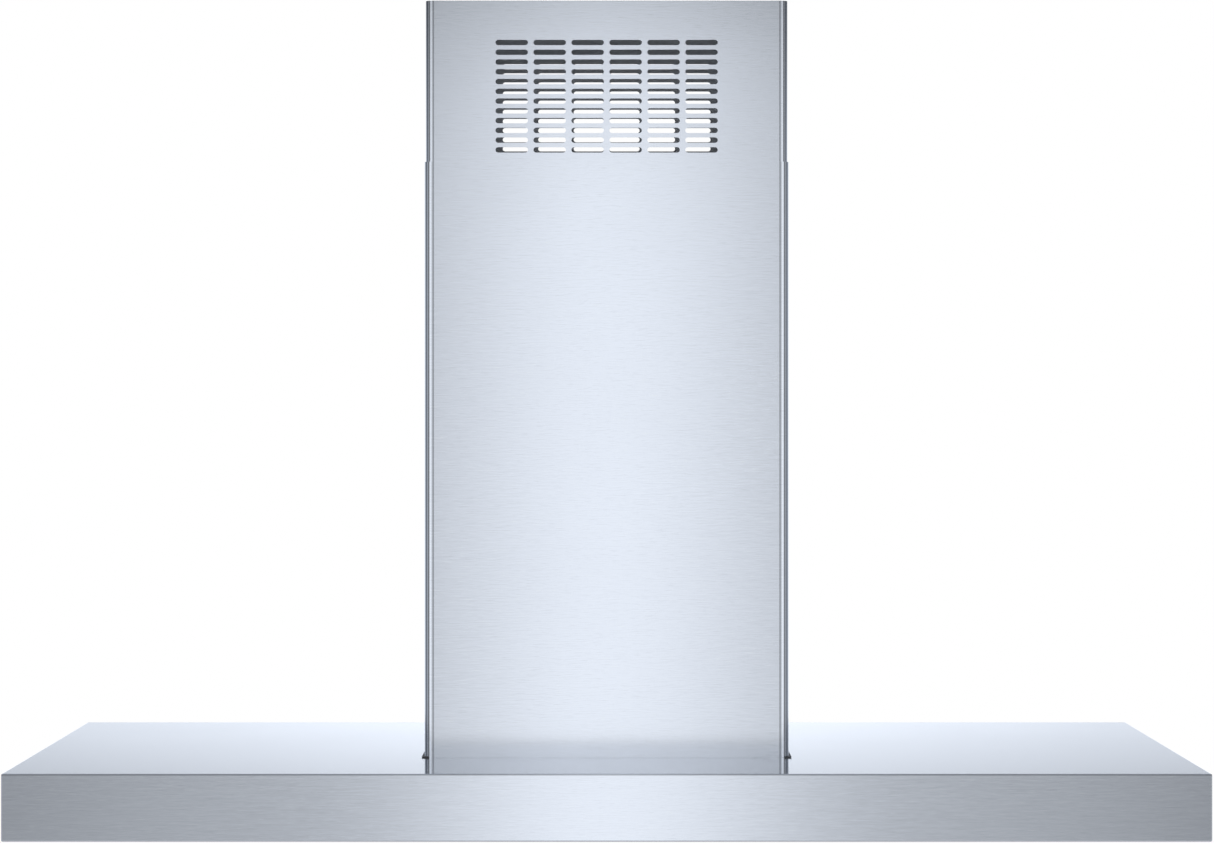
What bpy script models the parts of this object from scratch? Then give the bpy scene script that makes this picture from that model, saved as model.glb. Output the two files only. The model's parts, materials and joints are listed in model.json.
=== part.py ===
"""Island range hood: slab canopy, telescopic chimney, blower and hanging frame.

X runs along the width, Y along the depth with the front at -Y, and Z is up.
The origin is the bottom centre of the canopy's lower rim, at z = 0.
Every shape function takes and returns places in the object's own frame, in metres.
"""

import math
from itertools import product

import bmesh
import bpy
from mathutils import Vector

MM = 0.001

# Driving dimensions.
CANOPY_WIDTH = 1067 * MM
CANOPY_DEPTH = 650 * MM
CANOPY_HEIGHT = 60 * MM
TOTAL_HEIGHT = 758 * MM
LOWER_CHIMNEY_WIDTH = 336 * MM
LOWER_CHIMNEY_DEPTH = 290 * MM
LOWER_CHIMNEY_TOP = 609.5 * MM
UPPER_CHIMNEY_BOTTOM = 290 * MM
CHIMNEY_CORNER = 9 * MM
GAP = 0.3 * MM
GASKET_THICKNESS = 0.8 * MM
GASKET_HALF_Y = 143.2 * MM

# Sheet thicknesses.
CANOPY_SHEET = 1.2 * MM
CHIMNEY_SHEET = 0.8 * MM
FRAME_SHEET = 1.5 * MM
BOX_SHEET = 1.0 * MM

# Telescopic fit: the upper chimney slides inside the lower one.
SLEEVE_GAP = 0.35 * MM
UPPER_INSET = CHIMNEY_SHEET + SLEEVE_GAP

# Vent slots in the upper chimney.
SLOT_COLUMNS = 6
SLOT_ROWS = 12
SLOT_LENGTH = 30 * MM
SLOT_HEIGHT = 5 * MM
SLOT_PITCH_X = 35 * MM
SLOT_PITCH_Z = 9 * MM
SLOT_TOP_ROW = 719.4 * MM

# Hanging frame.
UPRIGHT_LEG = 20 * MM
LOWER_UPRIGHT_X = 161 * MM
LOWER_UPRIGHT_Y = 138 * MM
UPPER_UPRIGHT_X = 159 * MM
UPPER_UPRIGHT_Y = 136 * MM
BOLT_Y = 128 * MM
BOLT_Z = 272 * MM
ADJUST_TRAVEL = 300 * MM

# Blower.
FAN_Y = -7 * MM
FAN_Z = 190 * MM
BOX_HALF_X = 150 * MM
BOX_HALF_Y = 128 * MM
BOX_TOP = 392 * MM
SCROLL_HALF_WIDTH = 62 * MM
INLET_RADIUS = 72 * MM
NECK_HALF = 62 * MM
BLADE_COUNT = 18
COLLAR_RADIUS = 74 * MM
COLLAR_TOP = 530 * MM
DAMPER_Z = 452 * MM

# Underside.
PANEL_BOTTOM = 8 * MM
PANEL_TOP = 9 * MM
PORT_HALF_X = 435 * MM
PORT_HALF_Y = 206 * MM
FILTER_PITCH = 289 * MM
FILTER_HALF_X = 143 * MM
FILTER_HALF_Y = 203 * MM
FILTER_THICKNESS = 10 * MM
FILTER_HINGE_Y = 200 * MM
FILTER_HINGE_Z = 10 * MM
LAMP_X = 300 * MM
STRIP_Y = 262 * MM
BUTTON_PITCH = 30 * MM
BUTTON_NAMES = ("power", "slower", "faster", "light")

CORNERS = {
    "front_left": (-1, -1),
    "front_right": (1, -1),
    "rear_left": (-1, 1),
    "rear_right": (1, 1),
}

# Colour, roughness and metallic value of each material.
FINISHES = {
    "brushed_steel": ((0.76, 0.80, 0.86), 0.32, 1.0),
    "galvanised_steel": ((0.56, 0.58, 0.60), 0.45, 1.0),
    "zinc_bolt": ((0.62, 0.63, 0.65), 0.35, 1.0),
    "dark_plastic": ((0.05, 0.05, 0.055), 0.55, 0.0),
    "fan_plastic": ((0.09, 0.09, 0.10), 0.5, 0.0),
    "painted_box": ((0.75, 0.76, 0.78), 0.5, 0.0),
    "aluminium": ((0.74, 0.75, 0.76), 0.4, 1.0),
    "filter_mesh": ((0.62, 0.63, 0.65), 0.5, 1.0),
    "frosted_lens": ((0.93, 0.94, 0.95), 0.4, 0.0),
    "button_steel": ((0.70, 0.72, 0.75), 0.25, 1.0),
    "rubber": ((0.03, 0.03, 0.03), 0.8, 0.0),
    "shaft_steel": ((0.60, 0.60, 0.62), 0.2, 1.0),
}


# ---------------------------------------------------------------- set-up

def clear_scene():
    for obj in list(bpy.data.objects):
        bpy.data.objects.remove(obj)


def make_material(name):
    colour, roughness, metallic = FINISHES[name]
    material = bpy.data.materials.new(name)
    material.use_nodes = True
    shader = material.node_tree.nodes["Principled BSDF"]
    shader.inputs["Base Color"].default_value = (*colour, 1.0)
    shader.inputs["Roughness"].default_value = roughness
    shader.inputs["Metallic"].default_value = metallic
    return material


def add_body(name, origin=(0, 0, 0), parent=None):
    """Empty on a body's joint axis, at a place in the object's frame."""
    empty = bpy.data.objects.new(name, None)
    bpy.context.collection.objects.link(empty)
    empty["origin"] = list(origin)
    place = Vector(origin)
    if parent:
        empty.parent = parent
        place = place - Vector(parent["origin"])
    empty.location = place
    return empty


def add_piece(name, bm, material, body, smooth_angle=30):
    """Turn a finished bmesh into a named object that hangs under its body's empty."""
    bmesh.ops.recalc_face_normals(bm, faces=bm.faces[:])
    bmesh.ops.translate(bm, verts=bm.verts[:], vec=-Vector(body["origin"]))
    mesh = bpy.data.meshes.new(name)
    bm.to_mesh(mesh)
    bm.free()
    mesh.shade_smooth()
    mesh.set_sharp_from_angle(angle=math.radians(smooth_angle))
    mesh.materials.append(bpy.data.materials[material])
    obj = bpy.data.objects.new(name, mesh)
    bpy.context.collection.objects.link(obj)
    obj.parent = body
    return obj


def add_cutter(name, *shapes):
    """One hidden object that holds every shape to be cut away."""
    mesh = bpy.data.meshes.new(name)
    merged = bmesh.new()
    for bm in shapes:
        bmesh.ops.recalc_face_normals(bm, faces=bm.faces[:])
        bm.to_mesh(mesh)
        bm.free()
        merged.from_mesh(mesh)
    merged.to_mesh(mesh)
    merged.free()
    cutter = bpy.data.objects.new(name, mesh)
    bpy.context.collection.objects.link(cutter)
    cutter.hide_render = True
    cutter.display_type = "WIRE"
    return cutter


def cut(obj, cutter):
    modifier = obj.modifiers.new(cutter.name, "BOOLEAN")
    modifier.operation = "DIFFERENCE"
    modifier.solver = "EXACT"
    modifier.object = cutter


# ---------------------------------------------------------------- outlines

def rectangle(half_x, half_y, centre=(0, 0)):
    cx, cy = centre
    return [
        (cx - half_x, cy - half_y),
        (cx + half_x, cy - half_y),
        (cx + half_x, cy + half_y),
        (cx - half_x, cy + half_y),
    ]


def arc(centre, radius, start, end, steps):
    """Points from one angle to another, in degrees, ends included."""
    cx, cy = centre
    angles = [math.radians(start + (end - start) * i / steps) for i in range(steps + 1)]
    return [(cx + radius * math.cos(a), cy + radius * math.sin(a)) for a in angles]


def circle(radius, sides, centre=(0, 0)):
    return arc(centre, radius, 0, 360, sides)[:-1]


def rounded_rectangle(half_x, half_y, radius, steps):
    points = []
    for sx, sy, start in ((1, -1, 270), (1, 1, 0), (-1, 1, 90), (-1, -1, 180)):
        centre = (sx * (half_x - radius), sy * (half_y - radius))
        points += arc(centre, radius, start, start + 90, steps)
    return points


def slot_outline(length, height, centre, steps):
    """Rounded slot that lies along the first axis."""
    cx, cy = centre
    radius = height / 2
    reach = length / 2 - radius
    right = arc((cx + reach, cy), radius, -90, 90, steps)
    left = arc((cx - reach, cy), radius, 90, 270, steps)
    return right + left


def square_loop(half, sides):
    """A square with one point at each of a circle's angles."""
    points = []
    for x, y in circle(1, sides):
        scale = half / max(abs(x), abs(y))
        points.append((x * scale, y * scale))
    return points


# ---------------------------------------------------------------- solids

def place(axis, u, v, w):
    """Point from outline coordinates u, v and the distance w along an axis."""
    if axis == "x":
        return (w, u, v)
    if axis == "y":
        return (u, w, v)
    return (u, v, w)


def plate(outline, low, high, axis="z", holes=()):
    """Flat sheet of any outline, with holes, between two places along an axis."""
    bm = bmesh.new()
    for loop in (outline, *holes):
        verts = [bm.verts.new(place(axis, u, v, low)) for u, v in loop]
        for first, second in zip(verts, verts[1:] + verts[:1]):
            bm.edges.new((first, second))
    bmesh.ops.triangle_fill(bm, edges=bm.edges[:], use_beauty=True)
    grown = bmesh.ops.extrude_face_region(bm, geom=bm.faces[:])
    moved = [item for item in grown["geom"] if isinstance(item, bmesh.types.BMVert)]
    bmesh.ops.translate(bm, verts=moved, vec=place(axis, 0, 0, high - low))
    return bm


def loft(loops):
    """Closed skin through loops of 3-D points, the last joined to the first."""
    bm = bmesh.new()
    rows = [[bm.verts.new(point) for point in loop] for loop in loops]
    for row, following in zip(rows, rows[1:] + rows[:1]):
        count = len(row)
        for i in range(count):
            j = (i + 1) % count
            bm.faces.new((row[i], row[j], following[j], following[i]))
    return bm


def at_height(outline, z):
    return [(x, y, z) for x, y in outline]


def turned(profile, axis, centre, sides):
    """Solid of revolution from a closed profile of (radius, distance along axis)."""
    cu, cv = centre
    loops = []
    for radius, w in profile:
        loops.append([place(axis, cu + u, cv + v, w) for u, v in circle(radius, sides)])
    bm = loft(loops)
    bmesh.ops.remove_doubles(bm, verts=bm.verts[:], dist=1e-6)
    flat = [face for face in bm.faces if face.calc_area() < 1e-12]
    bmesh.ops.delete(bm, geom=flat, context="FACES_ONLY")
    return bm


def rod(radius, start, end, axis, centre, sides):
    return plate(circle(radius, sides, centre), start, end, axis)


def cell_face(cell, direction, side):
    """Grid corners of one face of a cell; side 0 is the low end of the direction."""
    corners = []
    for first, second in ((0, 0), (1, 0), (1, 1), (0, 1)):
        corner = list(cell)
        corner[direction] += side
        corner[(direction + 1) % 3] += first
        corner[(direction + 2) % 3] += second
        corners.append(corner)
    return corners


def ring_cells(angles, radii, stations, filled, centre):
    """Solid made of cells around the X axis; filled(sector, band, bay) says which."""
    cy, cz = centre
    count = len(angles)
    bm = bmesh.new()
    verts = {}

    def vert(i, j, k):
        key = (i % count, j, k)
        if key not in verts:
            angle = angles[key[0]]
            y = cy + radii[j] * math.cos(angle)
            z = cz + radii[j] * math.sin(angle)
            verts[key] = bm.verts.new((stations[k], y, z))
        return verts[key]

    def solid(i, j, k):
        inside = 0 <= j < len(radii) - 1 and 0 <= k < len(stations) - 1
        return inside and filled(i % count, j, k)

    for cell in product(range(count), range(len(radii) - 1), range(len(stations) - 1)):
        if not solid(*cell):
            continue
        for direction, side in product(range(3), (0, 1)):
            neighbour = list(cell)
            neighbour[direction] += 2 * side - 1
            if not solid(*neighbour):
                bm.faces.new([vert(*corner) for corner in cell_face(cell, direction, side)])
    return bm


# ---------------------------------------------------------------- canopy

def build_canopy(hood):
    """Folded slab with a throat under the chimney and a return lip below."""
    half_x = CANOPY_WIDTH / 2
    half_y = CANOPY_DEPTH / 2
    fold = 1.5 * MM
    lip = 12 * MM
    sheet = CANOPY_SHEET
    corner = 2 * MM
    top = CANOPY_HEIGHT

    def loop(inset, z, radius):
        return at_height(rounded_rectangle(half_x - inset, half_y - inset, radius, 2), z)

    throat = rounded_rectangle(146 * MM, 123 * MM, corner, 2)
    slant = fold * (1 - math.sqrt(0.5))
    loops = [
        at_height(throat, top),
        loop(fold, top, corner),
        loop(slant, top - slant, corner),
        loop(0, top - fold, corner),
        loop(0, fold / 2, corner),
        loop(fold / 2, 0, corner),
        loop(lip, 0, corner),
        loop(lip, sheet, corner),
        loop(sheet, sheet, corner / 2),
        loop(sheet, top - sheet, corner / 2),
        at_height(throat, top - sheet),
    ]
    add_piece("canopy_shell", loft(loops), "brushed_steel", hood)


def build_underside_panel(hood):
    """Recessed panel with a skirt, a filter port, four lamp holes and a control slot."""
    skirt_x = CANOPY_WIDTH / 2 - CANOPY_SHEET - 0.5 * MM
    skirt_y = CANOPY_DEPTH / 2 - CANOPY_SHEET - 0.5 * MM
    skirt_bottom = CANOPY_SHEET + GAP
    flange_top = 20 * MM
    sheet = BOX_SHEET

    def loop(half_x, half_y, z):
        return at_height(rectangle(half_x, half_y), z)

    loops = [
        loop(skirt_x, skirt_y, skirt_bottom),
        loop(skirt_x, skirt_y, PANEL_TOP),
        loop(PORT_HALF_X + sheet, PORT_HALF_Y + sheet, PANEL_TOP),
        loop(PORT_HALF_X + sheet, PORT_HALF_Y + sheet, flange_top),
        loop(PORT_HALF_X, PORT_HALF_Y, flange_top),
        loop(PORT_HALF_X, PORT_HALF_Y, PANEL_BOTTOM),
        loop(skirt_x - sheet, skirt_y - sheet, PANEL_BOTTOM),
        loop(skirt_x - sheet, skirt_y - sheet, skirt_bottom),
    ]
    panel = add_piece("underside_panel", loft(loops), "brushed_steel", hood)
    low = PANEL_BOTTOM - 2 * MM
    high = PANEL_TOP + 2 * MM
    holes = [rod(31 * MM, low, high, "z", spot, 16) for spot in lamp_places()]
    holes.append(plate(rectangle(88 * MM, 11 * MM, (0, -STRIP_Y)), low, high))
    cut(panel, add_cutter("underside_holes", *holes))


def lamp_places():
    return [(sx * LAMP_X, sy * STRIP_Y) for sy in (-1, 1) for sx in (-1, 1)]


def build_lamps(hood):
    sides = 16
    bezel_low = PANEL_BOTTOM - GAP - BOX_SHEET
    bezel_high = PANEL_BOTTOM - GAP
    cup_top = 38 * MM
    cup = [
        (26.5 * MM, bezel_low),
        (36 * MM, bezel_low),
        (36 * MM, bezel_high),
        (30 * MM, bezel_high),
        (30 * MM, cup_top),
        (0, cup_top),
        (0, cup_top - 2 * MM),
        (26.5 * MM, cup_top - 2 * MM),
    ]
    for number, centre in enumerate(lamp_places(), start=1):
        add_piece(f"lamp_housing_{number}", turned(cup, "z", centre, sides), "dark_plastic", hood)
        lens = rod(26.2 * MM, 6 * MM, 8.5 * MM, "z", centre, sides)
        add_piece(f"lamp_lens_{number}", lens, "frosted_lens", hood)


def build_controls(hood):
    """Button bezel under the front strip, the board's housing above it, and the buttons."""
    centre = (0, -STRIP_Y)
    low = PANEL_BOTTOM - GAP - BOX_SHEET
    high = PANEL_BOTTOM - GAP
    middle = (len(BUTTON_NAMES) - 1) / 2
    spots = [((i - middle) * BUTTON_PITCH, -STRIP_Y) for i in range(len(BUTTON_NAMES))]
    holes = [circle(6.4 * MM, 12, spot) for spot in spots]
    bezel = plate(rectangle(95 * MM, 15 * MM, centre), low, high, holes=holes)
    add_piece("control_bezel", bezel, "brushed_steel", hood)

    wall = 1.5 * MM
    base = PANEL_TOP + GAP
    top = 34 * MM
    outer = rectangle(94 * MM, 15 * MM, centre)
    inner = rectangle(94 * MM - wall, 15 * MM - wall, centre)
    tray = add_piece("control_housing", plate(outer, base, top), "dark_plastic", hood)
    cut(tray, add_cutter("control_hollow", plate(inner, base - wall, top - wall)))

    foot = 4.6 * MM
    collar_low = PANEL_BOTTOM
    collar_high = PANEL_BOTTOM + BOX_SHEET
    profile = [
        (0, foot),
        (6 * MM, foot),
        (6 * MM, collar_low),
        (7.5 * MM, collar_low),
        (7.5 * MM, collar_high),
        (2.5 * MM, collar_high),
        (2.5 * MM, 16 * MM),
        (0, 16 * MM),
    ]
    for name, spot in zip(BUTTON_NAMES, spots):
        body = add_body(f"{name}_axis", (*spot, foot), hood)
        button = turned(profile, "z", spot, 12)
        add_piece(f"button_{name}", button, "button_steel", body)


def build_filters(hood):
    """Three hinged grease filters, each with a frame, a mesh and a sliding latch."""
    low = PANEL_BOTTOM
    high = PANEL_BOTTOM + FILTER_THICKNESS
    rail = 12 * MM
    front_rail = 16 * MM
    mesh_low = low + 3 * MM
    mesh_high = mesh_low + 2.5 * MM
    opening_depth = 2 * FILTER_HALF_Y - rail - front_rail
    opening_y = (front_rail - rail) / 2
    latch_half = 10 * MM
    latch = [
        (-202 * MM, 5.6 * MM),
        (-192 * MM, 5.6 * MM),
        (-192 * MM, 7.6 * MM),
        (-195 * MM, 7.6 * MM),
        (-195 * MM, 18.4 * MM),
        (-190 * MM, 18.4 * MM),
        (-190 * MM, 20.4 * MM),
        (-205.7 * MM, 20.4 * MM),
        (-205.7 * MM, 18.4 * MM),
        (-199 * MM, 18.4 * MM),
        (-199 * MM, 7.6 * MM),
        (-202 * MM, 7.6 * MM),
    ]
    for number in (1, 2, 3):
        x = (number - 2) * FILTER_PITCH
        body = add_body(f"filter_{number}_axis", (x, FILTER_HINGE_Y, FILTER_HINGE_Z), hood)
        outer = rectangle(FILTER_HALF_X, FILTER_HALF_Y, (x, 0))
        opening = rectangle(FILTER_HALF_X - rail, opening_depth / 2, (x, opening_y))
        latch_slot = rectangle(latch_half + 0.4 * MM, 5 * MM, (x, -194.4 * MM))
        frame = plate(outer, low, high, holes=(opening, latch_slot))
        add_piece(f"filter_frame_{number}", frame, "aluminium", body)
        inner = rectangle(FILTER_HALF_X - rail - GAP, opening_depth / 2 - GAP, (x, opening_y))
        add_piece(f"filter_mesh_{number}", plate(inner, mesh_low, mesh_high), "filter_mesh", body)
        slide = add_body(f"latch_{number}_axis", (x, -FILTER_HALF_Y, high), body)
        bolt = plate(latch, x - latch_half, x + latch_half, "x")
        add_piece(f"filter_latch_{number}", bolt, "button_steel", slide)


# ---------------------------------------------------------------- chimney

def chimney_half(side, width, depth, radius, low, high):
    """One folded half of a chimney tube; side is -1 for the front and 1 for the rear."""
    seam = 0.15 * MM
    steps = 4

    def run(inset):
        half_x = width / 2 - inset
        half_y = depth / 2 - inset
        bend = radius - inset
        right = arc((half_x - bend, bend - half_y), bend, 0, -90, steps)
        left = arc((bend - half_x, bend - half_y), bend, -90, -180, steps)
        return [(half_x, -seam), *right, *left, (-half_x, -seam)]

    outline = run(0) + run(CHIMNEY_SHEET)[::-1]
    return plate([(x, -side * y) for x, y in outline], low, high)


def build_lower_chimney(body):
    """The front and rear walls stand on the canopy, and the side walls on the gasket."""
    low = CANOPY_HEIGHT + GAP
    notch_top = low + GASKET_THICKNESS + GAP
    notches = []
    for side in (-1, 1):
        centre = (side * LOWER_CHIMNEY_WIDTH / 2, 0)
        outline = rectangle(10 * MM, GASKET_HALF_Y + GAP, centre)
        notches.append(plate(outline, CANOPY_HEIGHT - 1 * MM, notch_top))
    cutter = add_cutter("gasket_notches", *notches)
    for name, side in (("front", -1), ("rear", 1)):
        half = chimney_half(
            side, LOWER_CHIMNEY_WIDTH, LOWER_CHIMNEY_DEPTH, CHIMNEY_CORNER, low, LOWER_CHIMNEY_TOP
        )
        cut(add_piece(f"lower_chimney_{name}", half, "brushed_steel", body), cutter)


def build_upper_chimney(body):
    width = LOWER_CHIMNEY_WIDTH - 2 * UPPER_INSET
    depth = LOWER_CHIMNEY_DEPTH - 2 * UPPER_INSET
    radius = CHIMNEY_CORNER - UPPER_INSET
    slots = []
    for row in range(SLOT_ROWS):
        z = SLOT_TOP_ROW - row * SLOT_PITCH_Z
        for column in range(SLOT_COLUMNS):
            x = (column - (SLOT_COLUMNS - 1) / 2) * SLOT_PITCH_X
            outline = slot_outline(SLOT_LENGTH, SLOT_HEIGHT, (x, z), 3)
            slots.append(plate(outline, -depth, depth, "y"))
    cutter = add_cutter("vent_slots", *slots)
    for name, side in (("front", -1), ("rear", 1)):
        half = chimney_half(side, width, depth, radius, UPPER_CHIMNEY_BOTTOM, TOTAL_HEIGHT)
        cut(add_piece(f"upper_chimney_{name}", half, "brushed_steel", body), cutter)


def build_base_gasket(hood):
    """Flat seal under the chimney's side walls, proud of them, and inside its other walls."""
    outer = rectangle(LOWER_CHIMNEY_WIDTH / 2 + 2.4 * MM, GASKET_HALF_Y)
    inner = rectangle(LOWER_UPRIGHT_X + 1 * MM, LOWER_UPRIGHT_Y + 1 * MM)
    low = CANOPY_HEIGHT + GAP
    seal = plate(outer, low, low + GASKET_THICKNESS, holes=(inner,))
    add_piece("base_gasket", seal, "rubber", hood)


# ---------------------------------------------------------------- frame

def angle_section(x, y, sx, sy):
    """L outline with its outer corner at x, y on the side given by the two signs."""
    leg = UPRIGHT_LEG
    sheet = FRAME_SHEET
    points = [(0, 0), (leg, 0), (leg, sheet), (sheet, sheet), (sheet, leg), (0, leg)]
    return [(sx * (x - u), sy * (y - v)) for u, v in points]


def build_ceiling_frame(root):
    plate_low = TOTAL_HEIGHT - 2 * MM
    outline = rounded_rectangle(160 * MM, 137.5 * MM, 4 * MM, 1)
    holes = [circle(90 * MM, 32)]
    for sx, sy in CORNERS.values():
        holes.append(slot_outline(22 * MM, 7 * MM, (sx * 115 * MM, sy * 105 * MM), 3))
    bracket = plate(outline, plate_low, TOTAL_HEIGHT, holes=holes)
    add_piece("ceiling_bracket", bracket, "galvanised_steel", root)

    bolt_holes = [rod(2.8 * MM, -0.2, 0.2, "x", (sy * BOLT_Y, BOLT_Z), 10) for sy in (-1, 1)]
    cutter = add_cutter("bolt_holes", *bolt_holes)
    for name, (sx, sy) in CORNERS.items():
        section = angle_section(UPPER_UPRIGHT_X, UPPER_UPRIGHT_Y, sx, sy)
        upright = plate(section, 250 * MM, plate_low - GAP)
        cut(add_piece(f"upper_upright_{name}", upright, "galvanised_steel", root), cutter)

    outer_x = UPPER_UPRIGHT_X - FRAME_SHEET - GAP
    outer_y = UPPER_UPRIGHT_Y - FRAME_SHEET - GAP
    band = plate(
        rectangle(outer_x, outer_y), 430 * MM, 445 * MM,
        holes=(rectangle(outer_x - FRAME_SHEET, outer_y - FRAME_SHEET),),
    )
    add_piece("upper_frame_band", band, "galvanised_steel", root)


def build_height_bolts(root):
    """Clamp bolts on the upper uprights, with their heads outside the lower ones."""
    head_start = LOWER_UPRIGHT_X + GAP
    tip = 154 * MM
    profile = [
        (0, tip),
        (2.5 * MM, tip),
        (2.5 * MM, head_start),
        (5 * MM, head_start),
        (5 * MM, head_start + 4 * MM),
        (0, head_start + 4 * MM),
    ]
    for name, (sx, sy) in CORNERS.items():
        centre = (sy * BOLT_Y, BOLT_Z)
        bolt = turned([(radius, sx * x) for radius, x in profile], "x", centre, 6)
        add_piece(f"height_bolt_{name}", bolt, "zinc_bolt", root)


def build_lower_frame(hood):
    low = CANOPY_HEIGHT + GAP
    high = LOWER_CHIMNEY_TOP
    slot_low = BOLT_Z - 10 * MM
    slot_high = BOLT_Z + ADJUST_TRAVEL + 16 * MM
    half_width = 3.6 * MM
    slots = []
    for sy in (-1, 1):
        centre = (sy * BOLT_Y, (slot_low + slot_high) / 2)
        outline = rectangle(half_width, (slot_high - slot_low) / 2, centre)
        slots.append(plate(outline, -0.2, 0.2, "x"))
    cutter = add_cutter("adjusting_slots", *slots)
    for name, (sx, sy) in CORNERS.items():
        section = angle_section(LOWER_UPRIGHT_X, LOWER_UPRIGHT_Y, sx, sy)
        upright = plate(section, low, high)
        cut(add_piece(f"lower_upright_{name}", upright, "galvanised_steel", hood), cutter)
    inner = rectangle(LOWER_UPRIGHT_X + GAP, LOWER_UPRIGHT_Y + GAP)
    outer = rectangle(
        LOWER_UPRIGHT_X + GAP + FRAME_SHEET, LOWER_UPRIGHT_Y + GAP + FRAME_SHEET
    )
    band = plate(outer, high - 18 * MM, high - 3 * MM, holes=(inner,))
    add_piece("lower_frame_band", band, "galvanised_steel", hood)


# ---------------------------------------------------------------- blower

def scroll_outline(inset, neck_top):
    """Fan spiral that opens into a neck, as points in Y and Z."""
    start = 70 - 2 * inset / MM
    steps = 22
    points = []
    for i in range(steps + 1):
        share = i / steps
        angle = math.radians(start + (360 - start) * share)
        radius = (94 + 24 * share) * MM - inset
        points.append((FAN_Y + radius * math.cos(angle), FAN_Z + radius * math.sin(angle)))
    points.append((NECK_HALF - inset, neck_top))
    points.append((inset - NECK_HALF, neck_top))
    return points


def build_scroll(hood):
    wall = 1.5 * MM
    neck_top = BOX_TOP - BOX_SHEET - GAP
    seam = 0.15 * MM
    for name, side in (("left", -1), ("right", 1)):
        outside = side * SCROLL_HALF_WIDTH
        body = plate(scroll_outline(0, neck_top), side * seam, outside, "x")
        shell = add_piece(f"scroll_{name}", body, "galvanised_steel", hood)
        hollow = plate(
            scroll_outline(wall, neck_top + 5 * MM), -side * wall, outside - side * wall, "x"
        )
        inlet = rod(INLET_RADIUS, outside - side * 3 * MM, outside + side * 3 * MM,
                    "x", (FAN_Y, FAN_Z), 24)
        cut(shell, add_cutter(f"scroll_hollow_{name}", hollow))
        cut(shell, add_cutter(f"scroll_inlet_{name}", inlet))


def build_blower_box(hood):
    low = CANOPY_HEIGHT + GAP
    under = BOX_TOP - BOX_SHEET
    hole = 60.5 * MM

    def loop(half_x, half_y, z):
        return at_height(rectangle(half_x, half_y), z)

    loops = [
        loop(BOX_HALF_X, BOX_HALF_Y, low),
        loop(BOX_HALF_X, BOX_HALF_Y, BOX_TOP),
        loop(hole, hole, BOX_TOP),
        loop(hole, hole, under),
        loop(BOX_HALF_X - BOX_SHEET, BOX_HALF_Y - BOX_SHEET, under),
        loop(BOX_HALF_X - BOX_SHEET, BOX_HALF_Y - BOX_SHEET, low),
    ]
    add_piece("blower_box", loft(loops), "galvanised_steel", hood)


def build_impeller(body):
    """Double-inlet wheel: a hub on a centre disc, blades each side, two end rings."""
    pitch = 2 * math.pi / BLADE_COUNT
    blade = math.radians(4)
    angles = []
    for i in range(BLADE_COUNT):
        angles += [i * pitch, i * pitch + blade]
    radii = [5.3 * MM, 14 * MM, 72 * MM, 86 * MM]
    half = (1.5 * MM, 14 * MM, 50 * MM, 54 * MM)
    stations = [-x for x in reversed(half)] + list(half)
    hub_bays = (2, 3, 4)
    disc_bay = 3
    ring_bays = (0, 3, 6)

    def filled(sector, band, bay):
        if band == 0:
            return bay in hub_bays
        if band == 1:
            return bay == disc_bay
        return bay in ring_bays or sector % 2 == 0

    wheel = ring_cells(angles, radii, stations, filled, (FAN_Y, FAN_Z))
    add_piece("impeller", wheel, "fan_plastic", body)
    shaft = rod(5 * MM, -22 * MM, 75 * MM, "x", (FAN_Y, FAN_Z), 12)
    add_piece("motor_shaft", shaft, "shaft_steel", body)


def build_motor(hood):
    face = SCROLL_HALF_WIDTH + GAP
    back = face + 2 * MM
    front = back + GAP
    centre = (FAN_Y, FAN_Z)
    star = []
    for arm in (90, 210, 330):
        for radius, turn in ((24, -17), (92, -4.4), (92, 4.4), (24, 17), (24, 60)):
            star += arc(centre, radius * MM, arm + turn, arm + turn, 1)[:1]
    bracket = plate(star, face, back, "x", holes=(circle(8 * MM, 12, centre),))
    add_piece("motor_bracket", bracket, "galvanised_steel", hood)
    profile = [
        (5.3 * MM, front),
        (16 * MM, front),
        (16 * MM, front + 4 * MM),
        (44 * MM, front + 7 * MM),
        (44 * MM, front + 48 * MM),
        (30 * MM, front + 56 * MM),
        (0, front + 56 * MM),
        (0, 76 * MM),
        (5.3 * MM, 76 * MM),
    ]
    add_piece("motor", turned(profile, "x", centre, 16), "dark_plastic", hood)


def build_outlet(hood):
    """Square-to-round transition on the blower box, and the duct collar over it."""
    sides = 24
    base = BOX_TOP + GAP
    flange = base + BOX_SHEET
    round_low = 418 * MM
    round_high = 430 * MM
    spigot = COLLAR_RADIUS - BOX_SHEET - GAP
    loops = [
        at_height(square_loop(74 * MM, sides), base),
        at_height(square_loop(74 * MM, sides), flange),
        at_height(square_loop(62 * MM, sides), flange),
        at_height(circle(spigot, sides), round_low),
        at_height(circle(spigot, sides), round_high),
        at_height(circle(spigot - BOX_SHEET, sides), round_high),
        at_height(circle(spigot - BOX_SHEET, sides), round_low),
        at_height(square_loop(61 * MM, sides), base),
    ]
    add_piece("outlet_transition", loft(loops), "galvanised_steel", hood)
    collar = plate(
        circle(COLLAR_RADIUS, sides), 424 * MM, COLLAR_TOP,
        holes=(circle(COLLAR_RADIUS - BOX_SHEET, sides),),
    )
    add_piece("outlet_collar", collar, "galvanised_steel", hood)
    pin = rod(2 * MM, -71.5 * MM, 71.5 * MM, "y", (0, DAMPER_Z), 10)
    add_piece("damper_pin", pin, "shaft_steel", hood)


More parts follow.
